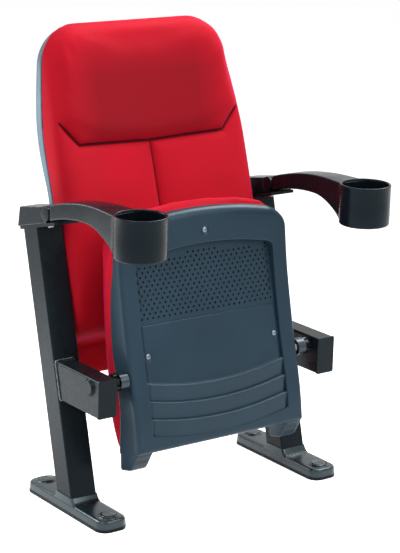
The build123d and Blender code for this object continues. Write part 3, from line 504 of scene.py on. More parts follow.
def arm_under(y):
    """The arm's lower line: a shallow arc, then a full curve down to the foot of the cup."""
    a, b = np.array(under_points[2]), np.array(bend_end)
    rear = arc_through(*under_points, np.maximum(y, a[0]))
    run = b - a
    middle = (a + b) / 2 + np.array([run[1], -run[0]]) / np.linalg.norm(run) * bend_out
    front = arc_through(tuple(a), tuple(middle), tuple(b), np.clip(y, b[0], a[0]))
    return np.where(np.asarray(y) > a[0], rear, front)


def arm_width(y):
    """Half the arm's width: parallel, then wider by the square of the way to the cup, and last a hollow
    curve onto the cup's round."""
    grow = np.clip((widen_y - np.asarray(y)) / widen_run, 0, 1)
    near = np.clip((hollow_y - np.asarray(y)) / hollow_run, 0, 1)
    return arm_half + (arm_front_half - arm_half) * grow**2 + hollow_out * near**3


def arm_loft():
    """Rounded-rectangle sections carried along the arm. The first ones are drawn in round its rear end, at
    the place s by r - sqrt(r^2 - (r - s)^2); the last ones curve to the round of the cup."""
    start = arm_rear - np.array(end_rings)
    y = np.concatenate([start, np.linspace(55, -120, 46), np.linspace(-124, arm_end_y, 34)])
    left = end_round - np.minimum(arm_rear - y, end_round)
    draw = end_round - np.sqrt(np.maximum(end_round**2 - left**2, 0))
    top, low, half = arm_top(y) - draw, arm_under(y) + draw, arm_width(y) - draw
    radius = np.full_like(y, arm_edge)
    radius[:len(end_edges)] = end_edges
    x, z = rounded_sections(arm_x, half, (top + low) / 2, (top - low) / 2, radius, 7)
    blend_in = ease(curve_y, arm_end_y, y)[:, None]
    end_y = cup_y + np.sqrt(cup_join_r**2 - np.minimum(np.abs(x - cup_x), cup_join_r) ** 2)
    return tube_of(stack(x, y[:, None] + blend_in * (end_y - (cup_y + cup_join_r)), z))


def cup():
    """A turned cup: rounded foot, wall with a rolled lip, rounded floor inside. A round of radius r about
    (a, b) runs through a + r cos t, b + r sin t."""
    foot, lip, hollow, inside = 5.0, 2.6, 6.0, cup_r - 4.9
    floor, below_lip = cup_low + 4, cup_rim - 6
    t, half_turn = quarter_turn(7), np.linspace(0, 1, 9) * TAU / 2
    radii = [0.0, cup_r - 6, *(cup_r - foot + foot * np.sin(t)), cup_r, cup_r, cup_r + 0.5,
             *(cup_r - 2.05 + lip * np.cos(half_turn)), inside + 0.2, inside,
             *(inside - hollow + hollow * np.cos(t)), 0.0]
    heights = [cup_low, cup_low, *(cup_low + foot - foot * np.cos(t)), cup_low + 40, below_lip, cup_rim - 3,
               *(cup_rim - lip + lip * np.sin(half_turn)), below_lip, floor + hollow + 2,
               *(floor + hollow - hollow * np.sin(t)), floor]
    return placed(turned(radii, heights, 112), (cup_x, cup_y, 0))


def barrel(x0, x1, y, z, radius, edge=1.2):
    """A round bar along x with rounded ends."""
    t = quarter_turn(5)
    length = x1 - x0
    radii = [0.0, *(radius - edge + edge * np.sin(t)), *(radius - edge + edge * np.cos(t)), 0.0]
    heights = [0.0, *(edge - edge * np.cos(t)), *(length - edge + edge * np.sin(t)), length]
    return placed(turned(radii, heights, 56), (x0, y, z), x_axis=(0, 1, 0), z_axis=(1, 0, 0))


def prism(points, x0, x1):
    """A (y, z) polygon run along x."""
    p = np.asarray(points, float)
    return tube_of(np.stack([stack(x, p[:, 0], p[:, 1]) for x in (x0, x1)]))


def arm_tongue():
    """The arm's tongue and hinge barrel between the block's two ears."""
    play, overlap = 0.3, 6
    x0, x1 = arm_x - arm_half + ear_w + play, arm_x + arm_half - ear_w - play
    y, z = hinge
    front = arm_rear - overlap
    root = prism([(y, z - 12.5), (y, z + 13.5), (front, z + 16.0), (front, z - 12.5)], x0, x1)
    return [root, barrel(x0, x1, y, z, barrel_r)]


# The head plate's own origin is the upper end of the leg's middle line.
head_y = leg_base_y + leg_length * math.sin(leg_lean)
head_z = leg_length * math.cos(leg_lean)
head_cos, head_sin = math.cos(head_tilt), math.sin(head_tilt)


def head_point(y, z):
    """A (y, z) place in the head plate's own frame, as one in the whole object's."""
    return head_y + y * head_cos + z * head_sin, head_z - y * head_sin + z * head_cos


def in_head(y, z):
    """The opposite: a place in the whole object's frame as one in the head plate's."""
    y, z = y - head_y, z - head_z
    return y * head_cos - z * head_sin, y * head_sin + z * head_cos


def armrest_block():
    """The fixed block on the head plate: a sloped prism with two round ears for the hinge pin."""
    hy, hz = in_head(*hinge)
    low = 7.0
    side = ((47.5, low), (28.5, 48.0), (hy + 14, hz + 15.2), (hy + 14, low))
    side = [head_point(*p) for p in side]
    cheek = ((hy, low), (hy + 16, low), (hy + 16, hz + 15.3), (hy, hz + 15.4))
    cheek = [head_point(*p) for p in cheek]
    pieces = [prism(side, arm_x - arm_half, arm_x + arm_half)]
    for x0, out in ((arm_x - arm_half, -ear_out), (arm_x + arm_half - ear_w, ear_out)):
        pieces.append(prism(cheek, x0, x0 + ear_w))
        pieces.append(barrel(x0 + min(out, 0), x0 + ear_w + max(out, 0), *hinge, ear_r, edge=1.1))
    return pieces


def make_armrests():
    """Both armrests: the lifting arm with its cup on its own body, the block on the stand."""
    for side in ("left", "right"):
        make_piece(f"{side}_arm_moulding", both(side, [arm_loft(), cup(), *arm_tongue()]), black_moulding,
                   f"{side}_armrest", [f"{side}_arm"], crease=40)
        make_piece(f"{side}_block_moulding", both(side, armrest_block()), black_moulding,
                   "stand", [f"{side}_armrest_block"], bevel=2.4)


make_armrests()


# ---------------------------------------------------------------- seat pan

# x runs across the pan, u up its panel from the pivot, v out of its face.
shell_half, panel_half = 218.0, 178.0
panel_v, panel_under_v, panel_low = 11.0, 6.5, -152.0  # the sunk panel's face, its underside, its foot
step_centre, step_first, step_pitch, step_rise, step_chamfer = 737.4, -32.6, 36.7, 7.0, 3.4
mesh_low, mesh_arch = 104.5, 258.0  # the perforated field's lower edge and the top of its arch
hole_pitch, hole_row, hole_r, hole_first = 14.0, 9.55, 2.4, 118.0
screw_spots = ((0.0, 284.6), (-165.0, 40.6), (165.0, 40.6))
pan_sin, pan_cos = math.sin(pan_lean), math.cos(pan_lean)


def on_pan(x, u, v):
    """A point of the seat pan: x across, u up the panel, v out of its face."""
    x, u, v = np.broadcast_arrays(np.asarray(x, float), u, v)
    return stack(x, pivot[1] + u * pan_sin - v * pan_cos, pivot[2] + u * pan_cos + v * pan_sin)


def face_v(u):
    """How far the shell's face stands out at u."""
    return smooth_line(u, (-190, -164, -120, 60, 200, 285, 330), (6.0, 10.0, 15.0, 16.0, 21.5, 31.0, 36.0))


def rim_v(u):
    """Where the shell's side wall ends at u."""
    return smooth_line(u, (-200, -152, -80, 91, 184, 243, 330), (-66, -59.0, -41.0, -38.0, -19.0, 1.0, 4.0))


def arched_loop(half, low, shoulder, top, corner, low_corner, low_sag=0.0, middle_crowd=0.0):
    """Closed outline, anticlockwise: a foot that may sag, straight sides, round corners, a top arched on
    one circle. That circle's radius is (half^2 + h^2) / 2h, h its rise; the corner arcs touch it and the
    sides. The arch's points, at s from -1 to 1, are crowded to the middle by (1 - c) s + c s^3, where c
    is middle_crowd."""
    rise = top - shoulder
    big = (half**2 + rise**2) / (2 * rise)
    centre = top - big
    corner_u = centre + math.sqrt((big - corner) ** 2 - (half - corner) ** 2)
    turn = math.atan2(corner_u - centre, half - corner)
    t = np.linspace(0, 1, 13)[:-1] * turn
    right_corner = np.stack([half - corner + corner * np.cos(t), corner_u + corner * np.sin(t)], -1)
    s = np.linspace(-1, 1, 97)
    s = s * (1 - middle_crowd) + middle_crowd * s**3
    a = QUARTER + s * (QUARTER - turn)
    crown = np.stack([big * np.cos(a), centre + big * np.sin(a)], -1)
    foot_u = low + low_sag + low_corner
    side = np.linspace(foot_u, corner_u, 61)[:-1]
    right = np.stack([np.full_like(side, half), side], -1)
    c = quarter_turn(6)[:-1]
    corner_x = half - low_corner + low_corner * np.sin(c)
    foot_corner = np.stack([corner_x, foot_u - low_corner * np.cos(c)], -1)
    x = np.linspace(-(half - low_corner), half - low_corner, 61)[1:-1]
    foot = np.stack([x, low + low_sag * (x / half) ** 2], -1)
    going_up = np.concatenate([foot_corner, right, right_corner])
    return np.concatenate([foot, going_up, crown, going_up[::-1] * np.array([-1, 1])])


def screw_dimples(x, u):
    """Depth of the round seats pressed into the face under the three screws."""
    radius, depth = 9.5, 1.7
    sunk = np.zeros(np.broadcast(x, u).shape)
    for screw_x, screw_u in screw_spots:
        off = np.hypot(x - screw_x, u - screw_u)
        sunk = sunk + depth * (1 - ease(radius - 1.6, radius + 0.6, off))
    return sunk


def shell_frame():
    """The shell's frame as one closed ring: side wall, rolled edge, face band, drop to the panel, back.
    Each point of the outer outline is joined to the same point of the panel's outline. The rolled edge
    goes in by r (1 - cos a) and out by its rise times sin a, with a larger r at the top."""
    outer = arched_loop(shell_half, -159.0, 308.0, 335.0, 56.0, 5.0, 0.0, 0.75)
    inner = arched_loop(panel_half, -142.7, 238.0, mesh_arch, 14.0, 3.0, 18.2, 0.75)
    n, m = inward(outer), -inward(inner)
    up = np.clip(-n[:, 1], 0, 1)
    roll = (8.0 + 13.0 * ease(0.25, 1.0, up))[:, None]
    drop_round, wall, chamfer = 2.0, 4.0, 0.6
    rows = []

    def ring(plan, v):
        """One closed row of the frame, at v over plan."""
        rows.append(on_pan(plan[:, 0], plan[:, 1], np.broadcast_to(v, plan.shape[:1])))

    rim = rim_v(outer[:, 1])
    edge = np.maximum(face_v(outer[:, 1]) - roll[:, 0], rim + 1.0)
    for share in (0.0, 0.03, 0.3, 0.6, 0.85):
        ring(outer, rim + share * (edge - rim))
    for a in quarter_turn(10):
        plan = outer + n * roll * (1 - math.cos(a))
        ring(plan, edge + (face_v(plan[:, 1]) - edge) * math.sin(a))
    start, end = outer + n * roll, inner + m * drop_round
    for share in np.linspace(0, 1, 25)[1:]:
        plan = start + (end - start) * share
        ring(plan, face_v(plan[:, 1]) - screw_dimples(plan[:, 0], plan[:, 1]))
    for a in quarter_turn(5)[1:]:
        plan = inner + m * (drop_round - drop_round * math.sin(a))
        ring(plan, face_v(plan[:, 1]) - drop_round * (1 - math.cos(a)))
    ring(inner, 5.0)
    ring(inner + m * 3.0, 4.0)
    ring(start, np.minimum(face_v(start[:, 1]) - 5.0, 12.0))
    ring(outer + n * wall, np.maximum(edge - wall, rim + 1.0))
    ring(outer + n * wall, rim)
    ring(outer + n * (wall - chamfer), rim - chamfer)
    ring(outer + n * chamfer, rim - chamfer)
    return ring_of(np.stack(rows))


def arc_u(middle, x):
    """The height of a step's arc at x, c - sqrt(r^2 - x^2): a circle about a far centre c above, with r
    the way from it to the arc's middle."""
    r = step_centre - middle
    return step_centre - np.sqrt(r**2 - x**2)


def lower_panel():
    """The smooth panel with three clapboard steps, in rows that follow their arcs and then straighten."""
    middle, v = [panel_low], [panel_v]
    for i in (2, 1, 0):
        high = step_first - i * step_pitch
        low = high - step_pitch
        crest = high - step_chamfer - 0.6
        rising = np.array([0.03, 0.2, 0.4, 0.6, 0.8, 0.96])
        falling = (0.05, 0.3, step_chamfer, step_chamfer + 0.6, step_rise - 0.4, step_rise)
        middle += [*(low + rising * (crest - low)), crest, crest + 0.5]
        middle += [high - 1.1, high - 0.6, high, high + 0.5]
        v += [*(panel_v + rising * step_rise), *(panel_v + step_rise - fall for fall in falling)]
    middle += [*np.linspace(step_first + 4, 27, 10), *np.linspace(29, 53, 25)]
    middle += [*np.linspace(57, mesh_low - 2.4, 9), *(mesh_low - short for short in (2.0, 1.2, 0.4, 0.0))]
    v += [panel_v] * (len(middle) - len(v) - 3) + [panel_v - sunk for sunk in (0.2, 0.9, 2.8)]
    middle, v = np.array(middle)[:, None], np.array(v)[:, None]
    near = np.linspace(153, 179, 22)
    x = np.concatenate([-near[::-1], np.linspace(-150, 150, 41), near])[None, :]
    straight = ease(step_first, mesh_low - 20, middle)
    u = arc_u(middle, x) * (1 - straight) + middle * straight
    fullness = ease(step_first, 30, middle) * (1 - ease(70, mesh_low, middle))
    crown = 1.2 * (1 - (x / panel_half) ** 2) * fullness
    round_off = 2.4 * ease(169.0, 175.0, np.abs(x)) ** 2
    top = on_pan(x, u, v + crown - screw_dimples(x, u) - round_off)
    return slab_of(top, on_pan(x, u, np.full_like(u, panel_under_v)))


def hole_plate():
    """The perforated field. Each cell is the plate between a rectangle of sixteen points and a round hole
    of sixteen, the hole's wall and its floor. Cells near the arched top keep no hole, and rows stand
    half a pitch apart."""
    lower_edge = np.stack([np.array([-1, -0.5, 0, 0.5]), np.full(4, -1.0)], -1)
    left_turn = np.array([[0, 1], [-1, 0]])
    square = np.concatenate([lower_edge @ np.linalg.matrix_power(left_turn, k) for k in range(4)])
    angle = (np.arange(16) / 16 + 0.625) * TAU
    circle = np.stack([np.cos(angle), np.sin(angle)], -1)
    count, last_x = 14, 170.0
    holed, plain = [], []
    for k in range(count):
        u = hole_first + k * hole_row
        for j in range(-12, 13):
            x = hole_pitch * j + (hole_pitch / 2 if k % 2 else 0)
            if abs(x) <= last_x:
                arch = mesh_arch - 20.0 * (x / panel_half) ** 2
                (holed if u < arch - 14.5 else plain).append((x, u))
    holed, plain = np.array(holed)[:, None], np.array(plain)[:, None]
    half = np.array([hole_pitch / 2, hole_row / 2])
    flat, deep = panel_v - 2.4, panel_v - 5.8

    def spread(plan, v):
        """Points of plan, its (x, u) last, at v."""
        return on_pan(plan[..., 0], plan[..., 1], v)

    rim = spread(holed + square * half, flat)
    lip = spread(holed + circle * (hole_r + 0.25), flat)
    edge = spread(holed + circle * hole_r, flat - 0.3)
    sink = spread(holed + circle * hole_r, deep)
    one = [tuple(f) for f in grid_faces(4, 16, wrap_columns=True)] + [tuple(range(48, 64))]
    faces = [tuple(i + 64 * c for i in f) for c in range(len(holed)) for f in one]
    bodies = [(np.stack([rim, lip, edge, sink], 1).reshape(-1, 3), faces)]
    solid = spread(plain + square * half, flat).reshape(-1, 3)
    bodies.append((solid, [tuple(range(16 * c, 16 * c + 16)) for c in range(len(plain))]))

    def sheet(x0, x1, u0, u1):
        """A plain rectangle of the plate, beside the cells."""
        p = on_pan(np.array([x0, x1, x1, x0]), np.array([u0, u0, u1, u1]), flat)
        bodies.append((p, [(0, 1, 2, 3)]))

    even_end, odd_end, plate_end = 175.0, 168.0, 179.0
    for u in hole_first + hole_row * np.arange(1, count, 2):
        sheet(-even_end, -odd_end, u - hole_row / 2, u + hole_row / 2)
        sheet(odd_end, even_end, u - hole_row / 2, u + hole_row / 2)
    low_u, top_u = hole_first - hole_row / 2, hole_first + (count - 0.5) * hole_row
    sheet(-plate_end, plate_end, mesh_low - 6, low_u)
    sheet(-plate_end, plate_end, top_u, mesh_arch + 4)
    sheet(-plate_end, -even_end, low_u, top_u)
    sheet(even_end, plate_end, low_u, top_u)
    return bodies


def horn():
    """The right rear horn: rounded-rectangle sections carried down to a sloped foot."""
    u = np.array([-140.0, -158.0, -166, -176, -186, -190.5, -192.3, -193.0])
    front = np.interp(-u, [140, 158, 186, 193], [8.0, 5.0, -22.0, -29.0])
    back = np.interp(-u, [140, 158, 193], [-56.0, -60.0, -66.5])
    draw = np.array([0, 0, 0, 0, 0.0, 0.5, 1.6, 3.2])
    x0, x1 = 176.0 + draw, 217.6 - draw
    half_x, half_v = (x1 - x0) / 2, (front - back) / 2 - draw
    x, v = rounded_sections((x0 + x1) / 2, half_x, (front + back) / 2, half_v, 4.0, 5)
    return tube_of(on_pan(x, u[:, None], v))


def dome_screw(radius, height, origin, axis):
    """A domed head with a round socket sunk in the middle."""
    t = quarter_turn(8)
    radii = [radius, radius, *(radius * (0.42 + 0.58 * np.cos(t))), radius * 0.38, radius * 0.36, 0.0]
    heights = [-1.5, 0.2, *(0.25 + (height - 0.25) * np.sin(t)), height - 0.15, height - 0.9, height - 0.9]
    return placed(turned(radii, heights, 36), origin, z_axis=axis)


def make_seat_shell():
    """The seat's moulded shell with its horns, its two sunk panels and its three screws."""
    make_piece("seat_shell_moulding", [shell_frame(), horn(), mirrored(horn())], seat_moulding, "seat",
               ["seat_shell"], crease=50)
    make_piece("seat_lower_panel", [lower_panel()], seat_moulding, "seat", crease=60)
    make_piece("seat_hole_plate", hole_plate(), seat_moulding, "seat", crease=30)
    out = on_pan(0, 0, 1) - on_pan(0, 0, 0)
    heads = []
    for x, u in screw_spots:
        face = face_v(u) if u > mesh_arch else panel_v
        heads.append(dome_screw(6.2, 3.0, on_pan(x, u, face - 1.4), out))
    make_piece("seat_shell_screw_heads", heads, shell_steel, "seat", ["seat_shell_screws"])


make_seat_shell()


# ---------------------------------------------------------------- soft pieces


def blob(outline, front, back, edge_front, edge_back):
    """A closed cushion blank as (plan, depth) layers. The outline, drawn in by edge_front and shrunk to
    each share of the way out from the middle, carries the front face; near its edge the face turns back
    through a quarter of an ellipse, runs down the side and closes behind in the same way."""
    middle = outline.mean(0)
    n = inward(outline)
    front_plan, back_plan = outline + n * edge_front, outline + n * edge_back
    rim_front, rim_back = front(front_plan), back(back_plan)
    depth = rim_back - rim_front
    turn_front, turn_back = np.minimum(edge_front, depth * 0.55), np.minimum(edge_back, depth * 0.3)
    layers = []
    for t in np.linspace(0.02, 1, 26):
        plan = middle + (front_plan - middle) * t
        layers.append((plan, front(plan)))
    for a in quarter_turn(8)[1:]:
        plan = outline + n * edge_front * (1 - math.sin(a))
        layers.append((plan, rim_front + turn_front * (1 - math.cos(a))))
    for a in quarter_turn(5):
        plan = outline + n * edge_back * (1 - math.cos(a))
        layers.append((plan, rim_back - turn_back * (1 - math.sin(a))))
    for t in np.linspace(1, 0.02, 12)[1:]:
        plan = middle + (back_plan - middle) * t
        layers.append((plan, back(plan)))
    return layers


def blank_mesh(name, layers, to_world):
    """The blank's layers as a closed mesh."""
    grid = np.stack([to_world(plan[:, 0], plan[:, 1], depth) for plan, depth in layers])
    return mesh_of(name, *tube_of(grid), False)


def mesh_points(mesh):
    """The mesh's points, in metres, one a row."""
    co = np.empty(len(mesh.vertices) * 3, np.float32)
    mesh.vertices.foreach_get("co", co)
    return co.reshape(-1, 3).astype(float)


def set_points(mesh, points):
    """Moves the mesh's points to points, in metres."""
    mesh.vertices.foreach_set("co", np.asarray(points, np.float32).ravel())
    mesh.update()


def apply_modifiers(obj):
    """The object's mesh with its modifiers applied, at the current frame."""
    dg = bpy.context.evaluated_depsgraph_get()
    mesh = bpy.data.meshes.new_from_object(obj.evaluated_get(dg), depsgraph=dg)
    old = obj.data
    obj.modifiers.clear()
    obj.data = mesh
    bpy.data.meshes.remove(old)


def stuffed(name, mesh, voxel, loose, cap):
    """A blank remeshed in squares of voxel mm, blown out under its own pressure as cloth, and held within
    cap mm of its start. loose(points in mm) is 0 where the cover is held down, at seams and against the
    shell, and 1 where it is free."""
    frames, held_share = 20, 0.15
    obj = add_object(name, mesh)
    remesh = obj.modifiers.new("even", "REMESH")
    remesh.mode, remesh.voxel_size = "VOXEL", voxel * MM
    apply_modifiers(obj)
    start = mesh_points(obj.data)
    free = np.clip(loose(start / MM), 0, 1)
    group = obj.vertex_groups.new(name="held")
    held = np.round(1 - free, 2)
    for weight in np.unique(held):
        if weight > 0:
            group.add(np.nonzero(held == weight)[0].tolist(), float(weight), "REPLACE")
    cloth = obj.modifiers.new("cover", "CLOTH")
    s = cloth.settings
    s.quality, s.mass = 6, 0.3
    s.use_pressure, s.uniform_pressure_force = True, 4.0
    s.effector_weights.gravity = 0
    s.tension_stiffness = s.compression_stiffness = 25
    s.bending_stiffness = 2.0
    s.vertex_group_mass = "held"
    cloth.collision_settings.use_collision = False
    cloth.point_cache.frame_start, cloth.point_cache.frame_end = 1, frames
    scene = bpy.context.scene
    for number in range(1, frames + 1):
        scene.frame_set(number)
    apply_modifiers(obj)
    moved = mesh_points(obj.data) - start
    far = np.linalg.norm(moved, axis=1)
    limit = cap * MM * (held_share + (1 - held_share) * free)
    moved *= (np.minimum(far, limit) / np.maximum(far, 1e-9))[:, None]
    set_points(obj.data, start + moved)
    scene.frame_set(1)
    return obj


def relaxed(points, mesh, rounds):
    """Each vertex moves half way to the mean of its neighbours, so many times."""
    edges = np.empty(len(mesh.edges) * 2, np.int32)
    mesh.edges.foreach_get("vertices", edges)
    a, b = edges.reshape(-1, 2).T
    n = len(points)
    count = np.bincount(a, minlength=n) + np.bincount(b, minlength=n)
    for _ in range(rounds):
        total = np.zeros_like(points)
        for axis in range(3):
            total[:, axis] = np.bincount(a, points[b, axis], n) + np.bincount(b, points[a, axis], n)
        points = points * 0.5 + total / np.maximum(count, 1)[:, None] * 0.5
    return points


def subdivide(obj):
    """One level of subdivision, applied, and smooth shading."""
    split = obj.modifiers.new("finer", "SUBSURF")
    split.levels = split.render_levels = 1
    apply_modifiers(obj)
    obj.data.shade_smooth()


def dress_cover(obj, material, body, node):
    """Gives a finished cover its material, its body and the cushion that it is shown for."""
    obj.data.materials.clear()
    obj.data.materials.append(material)
    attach(obj, body)
    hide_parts(node)


shell_end, cushion_end = 266.0, 244.0  # z of the back shell's and of the back cushion's low end
back_wide = 243.2  # half the backrest's width where its sides are parallel
side_slope = 0.122  # how far its sides lean in above the bend
bend_low, bend_middle, bend_high, bend_run = 714.4, 760.0, 805.6, 91.2
lean_z, lean_y, lean_slope = 645.0, 104.0, 104.0 / 323.0  # the head's straight lean starts here
dish_low, dish_depth, dish_width = 480.0, 18.0, 3300.0  # it is dished by depth - x^2 / width above low
head_low = 770.0  # the head stands forward above this
joint_gap = 0.3  # cushion and shell each stay so far from their joint
back_front = ((262, 121.0), (306, 119.5), (326, 118.0), (341, 88.0), (362, 67.0), (400, 61.5), (493, 70.0),
              (560, 82.0), (645, 104.0), (968, 208.0), (1000, 218.0))  # (z, y) down the cushion's middle
back_join = ((262, 130.5), (300, 129.0), (372, 121.5), (570, 138.0), (760, 200.0), (990, 269.5))


def head_forward(z):
    """How far the head stands forward of the straight lean: 14 ((z - head_low) / 190)^1.5, at least 0."""
    return 14.0 * (np.maximum(np.asarray(z, float) - head_low, 0) / 190.0) ** 1.5


def join_y(z):
    """The joint between cushion and back shell, at height z."""
    return np.interp(z, *zip(*back_join)) - head_forward(z)


def back_half(z):
    """Half the backrest's width: parallel, a bend on a parabola, then straight sides that lean in."""
    bent = np.clip((z - bend_low) / bend_run, 0, 1)
    return back_wide - side_slope * bend_run * bent**2 / 2 - side_slope * np.maximum(z - bend_high, 0)


def back_loop(inset, low, high, corner, foot_corner):
    """The backrest's outline, standing in by inset. Its corner circles touch the top and the sides."""
    r = corner - inset
    centre_z = high - r
    centre_x = back_wide - inset - side_slope * (centre_z - bend_middle) - r * math.hypot(1, side_slope)
    first = math.atan(side_slope)
    z = np.linspace(low + foot_corner, centre_z + r * math.sin(first), 61)
    right = np.stack([back_half(z) - inset, z], -1)
    turn = np.linspace(first, QUARTER, 18)[1:]
    top = np.stack([centre_x + r * np.cos(turn), centre_z + r * np.sin(turn)], -1)
    crown_x = np.linspace(top[-1, 0], 0, 16)[1:]
    crown = np.stack([crown_x, np.full_like(crown_x, high)], -1)
    foot_turn = quarter_turn(9)[:-1]
    foot_x = back_half(low) - inset - foot_corner
    foot_z = low + foot_corner * (1 - np.cos(foot_turn))
    foot = np.stack([foot_x + foot_corner * np.sin(foot_turn), foot_z], -1)
    base = np.stack([np.linspace(0, foot_x, 14)[:-1], np.full(13, low)], -1)
    half_loop = np.concatenate([base, foot, right, top, crown])
    return np.concatenate([half_loop, half_loop[1:-1][::-1] * np.array([-1, 1])])


def back_face(plan):
    """The cushion's front: the lumbar curve down the middle, or, where it stands further back, the
    straight lean dished on a parabola across."""
    x, z = plan[:, 0], plan[:, 1]
    line = smooth_line(z, *zip(*back_front))
    dished = lean_y + (z - lean_z) * lean_slope + dish_depth - x**2 / dish_width
    return np.maximum(line, np.where(z > dish_low, dished, -np.inf)) - head_forward(z)


def to_segment(px, pz, a, b):
    """Distance of points from a straight run between a and b."""
    run = np.array(b, float) - np.array(a, float)
    t = np.clip(((px - a[0]) * run[0] + (pz - a[1]) * run[1]) / (run @ run), 0, 1)
    return np.hypot(px - a[0] - t * run[0], pz - a[1] - t * run[1])


def seam_distance(x, z):
    """Distance from the nearest sewn channel: the upright one or the two runs of the fold."""
    side = np.abs(x)
    upright = to_segment(x, z, (0, 740), (0, 300))
    level = to_segment(side, z, seam_path[0], seam_path[1])
    rising = to_segment(side, z, seam_path[1], seam_path[2])
    return np.minimum(upright, np.minimum(level, rising))


def make_back_cushion():
    """Blank, simulated fullness between pinned seams, then the sewn channels pulled in by two bells about
    their line, 4.5 exp(-(d / 3)^2) + 5 exp(-(d / 10)^2), and the head panel filled by
    8 (1 - exp(-d / 15))."""
    outline = back_loop(-4.5, cushion_end, 988.0, 80.0, 16.0)
    layers = blob(outline, back_face, lambda p: join_y(p[:, 1]) - joint_gap, 18.0, 3.0)
    mesh = blank_mesh("back_blank", layers, lambda x, z, y: stack(x, y, z))

    def loose(p):
        """Free before the joint, away from the seams and above the cushion's thin foot."""
        front = ease(-8, -24, p[:, 1] - join_y(p[:, 2]))
        return front * ease(4, 16, seam_distance(p[:, 0], p[:, 2])) * ease(330, 380, p[:, 2])

    obj = stuffed("back_upholstery", mesh, 5.0, loose, 6.0)
    set_points(obj.data, relaxed(mesh_points(obj.data), obj.data, 2))
    start = mesh_points(obj.data)
    calm = relaxed(start, obj.data, 24)
    even = 0.85 * ease(-12, -30, start[:, 1] / MM - join_y(start[:, 2] / MM))
    set_points(obj.data, start + even[:, None] * (calm - start))
    subdivide(obj)
    p = mesh_points(obj.data) / MM
    x, z = p[:, 0], p[:, 2]
    d = seam_distance(x, z)
    front = ease(-10, -30, p[:, 1] - join_y(z))
    inner = ease(0, 26, back_half(z) - np.abs(x))
    head = ease(-7, 7, z - np.interp(np.abs(x), (0, 186, 236, 250), (738, 745, 799, 814)))
    sink = (4.5 * np.exp(-((d / 3.0) ** 2)) + 5.0 * np.exp(-((d / 10.0) ** 2))) * (0.1 + 0.9 * inner)
    puff = 8.0 * (1 - np.exp(-d / 15.0)) * head * inner
    p[:, 1] += front * (sink - puff)
    set_points(obj.data, p * MM)
    dress_cover(obj, red_sewn_cover, "stand", "back_cushion")


def cushion_loop():
    """The seat cushion's plan on the pan: straight foot and sides, wide arched nose."""
    return arched_loop(215.5, -151.5, 319.0, 352.0, 72.0, 14.0)[::2]


def sitting_v(plan):
    """The sitting face in the pan's own frame: its line down the middle, crowned 9 mm on a parabola."""
    x, u = plan[:, 0], plan[:, 1]
    line = smooth_line(u, (-152, -132, -87, 21, 134, 241, 322, 343, 352),
                       (-66.0, -88.0, -103.0, -102.0, -91.0, -71.0, -52.0, -38.0, -22.0))
    return line - 9.0 * (1 - (x / 216) ** 2) + 4.0


def cushion_under(plan):
    """The cushion's hidden side, let in behind the shell's rim, and its nose over the shell's top."""
    u = plan[:, 1]
    nose = np.interp(u, (325, 340, 352), (4.0, 1.0, -12.0))
    return np.where(u > 325, nose, np.minimum(rim_v(u) + 6.0, 5.0))


def make_seat_cushion():
    """Blank and simulated fullness, held where it lies in the shell."""
    layers = blob(cushion_loop(), sitting_v, cushion_under, 24.0, 3.0)
    mesh = blank_mesh("seat_blank", layers, on_pan)

    def loose(p):
        """Free where the cover stands out of the shell's rim."""
        u = (p[:, 1] - pivot[1]) * pan_sin + (p[:, 2] - pivot[2]) * pan_cos
        v = -(p[:, 1] - pivot[1]) * pan_cos + (p[:, 2] - pivot[2]) * pan_sin
        return ease(-4, -22, v - rim_v(u))

    obj = stuffed("seat_upholstery", mesh, 6.0, loose, 6.0)
    set_points(obj.data, relaxed(mesh_points(obj.data), obj.data, 2))
    subdivide(obj)
    dress_cover(obj, red_cover, "seat", "seat_cushion")


make_back_cushion()
make_seat_cushion()


# ---------------------------------------------------------------- back shell


def rear_y(z):
    """The back shell's rear line: straight, then an easy S up to the head."""
    line = smooth_line(z, (250, 290, 450, 570, 640, 700, 820, 940, 1000),
                       (142.4, 142.8, 155.5, 166.0, 181.0, 206.0, 244.0, 270.0, 278.0))
    return line - 0.8 * head_forward(z)


def make_back_shell():
    """A tray: rim at the joint with the cushion, side wall, edge rolled through a quarter of an ellipse,
    and rear face, all of one thickness."""
    edge_roll, thickness = 7.0, 3.4
    outline = back_loop(-3.0, shell_end, 982.0, 84.0, 16.0)
    z = outline[:, 1]
    front = join_y(z) + joint_gap
    depth = rear_y(z) - front
    roll = np.minimum(edge_roll, depth * 0.6)
    drawn = inward(outline) * roll[:, None]
    straight = depth - roll
    rows = [stack(outline[:, 0], front + share * straight, z) for share in (0.0, 0.3, 0.7)]
    for a in quarter_turn(9):
        plan = outline + drawn * (1 - math.cos(a))
        rest = rear_y(plan[:, 1]) - front - straight
        rows.append(stack(plan[:, 0], front + straight + rest * math.sin(a), plan[:, 1]))
    middle, edge = outline.mean(0), outline + drawn
    for t in np.linspace(1, 0.03, 26)[1:]:
        plan = middle + (edge - middle) * t
        rows.append(stack(plan[:, 0], rear_y(plan[:, 1]), plan[:, 1]))
    points, faces = tube_of(np.stack(rows))
    del faces[-2]  # the end at the cushion stays open
    obj = make_piece("back_shell_moulding", [(points, faces)], back_moulding, "stand",
                     ["back_shell"], crease=60)
    wall = obj.modifiers.new("wall", "SOLIDIFY")
    wall.thickness, wall.offset = thickness * MM, -1


make_back_shell()


# ---------------------------------------------------------------- feet and seat brackets

foot_half_x, foot_half_y, foot_corner_r = 34.5, 150.0, 23.0
bolt_y = 121.5  # the floor bolts stand so far before and behind the foot's middle
bracket_x, bracket_z = leg_x + 5.5, 279.0
weld_half_x, weld_half_z, weld_ripple = 22.6, 40.6, 3.4


